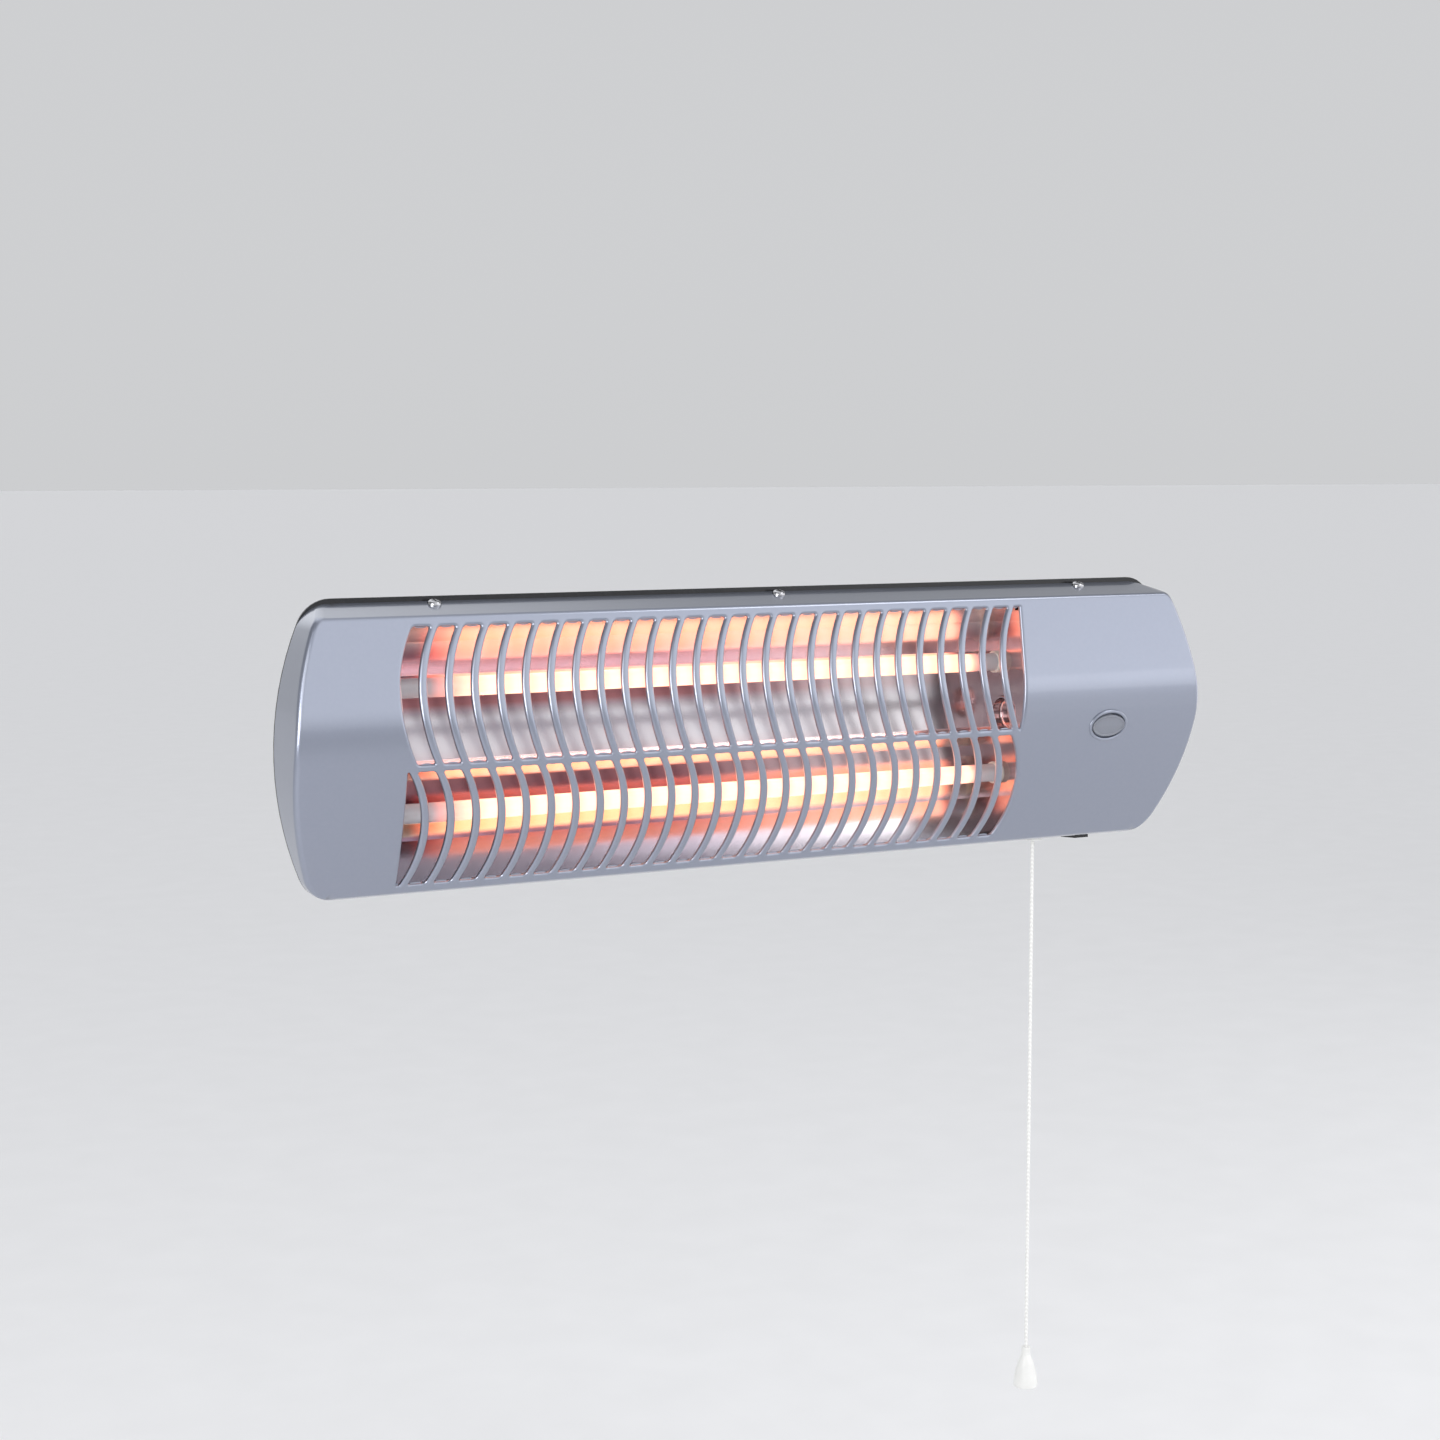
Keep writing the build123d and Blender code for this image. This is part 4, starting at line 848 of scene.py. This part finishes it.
for node, corners in (("upper_reflector", UPPER_TROUGH), ("lower_reflector", LOWER_TROUGH)):
    trough = folded_sheet(node.replace("reflector", "trough"), corners, materials["reflector_sheet"])
    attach(trough, "heater")
    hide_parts(node)


# Heating coils and the switch's return spring, in metres
COIL_Y = RIM_Y * MM + 0.002
UPPER_COIL_Z = 0.0295
LOWER_COIL_Z = -0.033
WIRE_SIDES = 8


def round_wire(name, path, radius, hint, material):
    """A round wire along a path; the hint is any direction across it."""
    ahead = unit(np.gradient(path, axis=0))
    side = unit(np.cross(ahead, hint))
    up = np.cross(side, ahead)
    cos, sin = (turned(full_turn(WIRE_SIDES))[None, :, None] for turned in (np.cos, np.sin))
    points = path[:, None] + radius * (cos * side[:, None] + sin * up[:, None])
    index = np.arange(len(path) * WIRE_SIDES).reshape(len(path), WIRE_SIDES)
    onward = np.roll(index, -1, 1)
    quads = np.stack((index[:-1], onward[:-1], onward[1:], index[1:]), -1).reshape(-1, 4)
    faces = quads.tolist() + [index[0][::-1].tolist(), index[-1].tolist()]
    made = add_mesh(name, points.reshape(-1, 3).tolist(), faces, material)
    smooth(made)
    return made


def winding(name, height):
    """A heating coil: a close helix with straight tails into the tube's caps."""
    turns, steps = 180, 20
    left, right = -0.193, 0.133
    left_cap, right_cap = -0.2255, 0.1655
    reach, radius, bend = 0.0029, 0.00045, 0.004
    count = turns * steps + 1
    angle = np.linspace(0, 2 * math.pi * turns, count)
    helix = np.stack((np.linspace(left, right, count), reach * np.cos(angle), reach * np.sin(angle)), -1)
    left_tail = np.outer((left_cap, left - bend), X_WAY)
    right_tail = np.outer((right + bend, right_cap), X_WAY)
    path = np.concatenate((left_tail, helix, right_tail)) + (0, COIL_Y, height)
    return round_wire(name, path, radius, (0.0, 0.3, 1.0), materials["glowing_coil"])


def return_spring(name, low, high):
    """A helix with closed end turns that fills a box between its low and high corner."""
    turns, steps = 7, 32
    reach, radius = 0.0042, 0.00055
    angle = np.linspace(0, 2 * math.pi * turns, turns * steps + 1)
    radial = np.stack((np.cos(angle), np.sin(angle), 0 * angle), -1)
    closed = 2.1 * radius
    span = high[2] - low[2] - 2 * radius
    rise = np.interp(angle / (2 * math.pi), (0, 1, turns - 1, turns), (0, closed, span - closed, span))
    path = reach * radial + ((low + high) / 2 * (1, 1, 0) + (0, 0, low[2] + radius))
    path[:, 2] += rise
    return round_wire(name, path, radius, radial, materials["spring_steel"])


for row, height in (("upper", UPPER_COIL_Z), ("lower", LOWER_COIL_Z)):
    coil = winding(row + "_coil_winding", height)
    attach(coil, "heater")
    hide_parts(row + "_heating_coil")

sleeve = nodes["switch_spring"]
sleeve_points = np.array([sleeve.matrix_world @ vertex.co for vertex in sleeve.data.vertices])
sleeve_low, sleeve_high = sleeve_points.min(0), sleeve_points.max(0)
spring = return_spring("return_spring_wire", sleeve_low, sleeve_high)
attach(spring, "heater")
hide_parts("switch_spring")
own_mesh(spring)

cover = front_cover()
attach(cover, "heater")
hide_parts("front_cover")


# Indicator lens and bezel, in millimetres: half sizes, and each rounding as
# (inset from the edge, height above the face)
LENS_HALF = (11.0, 6.5)
LENS_DOME = [
    (0.0, -1.6), (0.02, 0.2), (0.1, 0.6), (0.35, 0.95), (0.7, 1.1), (1.05, 1.0), (1.3, 0.7), (1.6, 0.55),
    (2.2, 0.65), (3.2, 0.9), (4.4, 1.08), (5.6, 1.17), (6.3, 1.2)]
BEZEL_HALF = (13.1, 9.4)
BEZEL_ROLL = [
    (0.0, -0.3), (0.02, 0.1), (0.2, 0.45), (0.55, 0.7), (0.95, 0.8), (1.35, 0.72), (1.7, 0.5), (1.95, 0.2),
    (2.08, -0.3), (2.1, -1.7), (6.0, -1.75)]


def oval_rings(name, half, bead, material):
    """A pressed oval around the indicator window, as wide and tall as half, rounded as bead says."""
    skin = Skin()
    middle, out = surface(WINDOW_X, float(at_height(WINDOW_Z, PATH_LENGTH)))
    up = np.cross(X_WAY, out) * -1
    turn = full_turn(64)
    profile = np.array([(half[0] - inset, half[1] - inset, height) for inset, height in bead])
    rise = np.gradient(profile[:, 2]) / np.minimum(np.gradient(profile[:, 0]), -1e-6)
    rows = []
    for (wide, tall, height), slope in zip(profile, rise):
        flat = np.stack((wide * np.cos(turn), tall * np.sin(turn)), -1)
        away = unit(np.stack((np.cos(turn) / wide, np.sin(turn) / tall), -1))
        place = middle + flat[:, :1] * X_WAY + flat[:, 1:] * up + out * height
        rows.append(skin.add(place, unit(out - slope * (away[:, :1] * X_WAY + away[:, 1:] * up))))
    for before, after in zip(rows, rows[1:]):
        skin.strip(before, after, closed=True)
    skin.faces.append([int(i) for i in rows[-1]])
    return skin.build(name, material)


lens = oval_rings("domed_lens", LENS_HALF, LENS_DOME, materials["lens_plastic"])
trim = oval_rings("rolled_bezel", BEZEL_HALF, BEZEL_ROLL, materials["bezel_trim"])
for piece, node, slot_name in ((lens, "indicator_lens", "lens_plastic"),
                               (trim, "indicator_bezel", "bezel_trim")):
    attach(piece, "heater")
    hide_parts(node)


# Pull cord, in metres, hanging from its exit down to the knob
cord_x = 0.185
cord_y = -0.051
cord_top = -0.0752
cord_length = 0.300
cord_radius = 0.001
cord_data = bpy.data.curves.new("pull_cord_braid", "CURVE")
cord_data.dimensions = "3D"
cord_line = cord_data.splines.new("NURBS")
cord_drops = (0.0, 0.001, 0.002, 0.004, *(cord_length * share / 6 for share in range(1, 7)))
cord_line.points.add(len(cord_drops) - 1)
for point, drop in zip(cord_line.points, cord_drops):
    point.co = (cord_x, cord_y, cord_top - drop, 1.0)
cord_line.points[0].radius = 0.15  # a rounded upper end, clear of the plunger as the cord swings
cord_line.order_u = 3
cord_line.use_endpoint_u = True
cord_data.bevel_depth = cord_radius
cord_data.bevel_resolution = 4
cord_data.use_fill_caps = True
cord_data.materials.append(materials["cord_fibre"])
cord = bpy.data.objects.new("pull_cord_braid", cord_data)
scene.collection.objects.link(cord)
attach(cord, "cord")
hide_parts("pull_cord")


# Floor and soft studio light
FLOOR_Z = -0.5
FLOOR_HALF = 60
FLOOR_CORNERS = [(x * FLOOR_HALF, y * FLOOR_HALF, FLOOR_Z) for x, y in ((-1, -1), (1, -1), (1, 1), (-1, 1))]
floor = add_mesh("floor", FLOOR_CORNERS, [(0, 1, 2, 3)],
                 plain("floor", (0.84, 0.84, 0.85), (0.86, 0.86, 0.87), 0.9, 20.0, 0.0))

world = bpy.data.worlds.new("world")
world.use_nodes = True
scene.world = world
sky = world.node_tree
sky_way = sky.nodes.new("ShaderNodeTexCoord").outputs["Generated"]
sky_axes = sky.nodes.new("ShaderNodeSeparateXYZ")
sky.links.new(sky_way, sky_axes.inputs[0])


def sky_range(value, start, stop, low, high):
    """Map start..stop softly to low..high."""
    made = sky.nodes.new("ShaderNodeMapRange")
    made.interpolation_type = "SMOOTHSTEP"
    for name, number in (("From Min", start), ("From Max", stop), ("To Min", low), ("To Max", high)):
        made.inputs[name].default_value = number
    sky.links.new(value, made.inputs["Value"])
    return made.outputs["Result"]


def sky_band(start, stop, low, high):
    """A strength that changes with height in the sky."""
    return sky_range(sky_axes.outputs["Z"], start, stop, low, high)


def sky_lobe(direction, start, stop, amount):
    """A soft glow round a direction, between two cosines of the angle from it."""
    facing = sky.nodes.new("ShaderNodeVectorMath")
    facing.operation = "DOT_PRODUCT"
    facing.inputs[1].default_value = Vector(direction).normalized()
    sky.links.new(sky_way, facing.inputs[0])
    return sky_range(facing.outputs["Value"], start, stop, 0.0, amount)


def sky_math(first, second, how="ADD"):
    made = sky.nodes.new("ShaderNodeMath")
    made.operation = how
    sky.links.new(first, made.inputs[0])
    sky.links.new(second, made.inputs[1])
    return made.outputs[0]


# The sky's strength: bands by height, and lobes behind, above and in front of the heater
low = sky_band(-0.10, 0.10, 0.48, 0.50)
high = sky_band(0.15, 0.60, 0.0, -0.26)
zenith = sky_band(0.75, 1.0, 0.0, 0.72)
backdrop = sky_lobe((0.48, 0.87, 0.05), 0.10, 0.90, 0.14)
behind = sky_lobe((-0.10, 0.72, 0.69), 0.80, 0.95, 0.85)
front = sky_math(sky_lobe((0.50, -0.82, 0.28), 0.50, 0.97, 1.10),
                 sky_band(-0.12, 0.28, 0.3, 1.0), "MULTIPLY")
card = sky_lobe((0.64, -0.76, 0.03), 0.945, 0.995, 0.40)
total = sky_math(sky_math(sky_math(low, high), sky_math(front, card)),
                 sky_math(sky_math(behind, zenith), backdrop))
sky.nodes["Background"].inputs["Color"].default_value = (0.97, 0.98, 1.0, 1.0)
sky.links.new(total, sky.nodes["Background"].inputs["Strength"])


def lamp(name, place, aim, size, power, mirrored=True):
    """A rectangular softbox; mirrored says whether glossy surfaces show it."""
    data = bpy.data.lights.new(name, "AREA")
    data.shape = "RECTANGLE"
    data.size, data.size_y = size
    data.energy = power
    made = bpy.data.objects.new(name, data)
    made.location = place
    point_along(made, Vector(aim) - Vector(place))
    made.visible_camera = False
    made.visible_glossy = mirrored
    scene.collection.objects.link(made)


lamp("left", (-0.95, -0.95, 0.38), (-0.1, -0.4, -0.3), (0.9, 0.7), 4.0)
lamp("right", (1.9, -0.3, 0.1), (0.1, -0.1, 0.0), (1.2, 1.0), 4.0)
lamp("above", (0.85, -0.7, 1.2), (0.05, -0.1, 0.0), (0.7, 0.4), 3.0)
lamp("rib side", (-1.3, -0.74, 0.22), (-0.1, -0.1, 0.85), (0.6, 0.8), 9.5)
lamp("right front", (1.05, -1.25, -0.05), (0.2, -0.1, -0.02), (0.7, 0.8), 0.65)
lamp("low right", (0.95, -1.0, 0.25), (0.9, -0.95, -0.5), (0.4, 0.4), 1.0, mirrored=False)
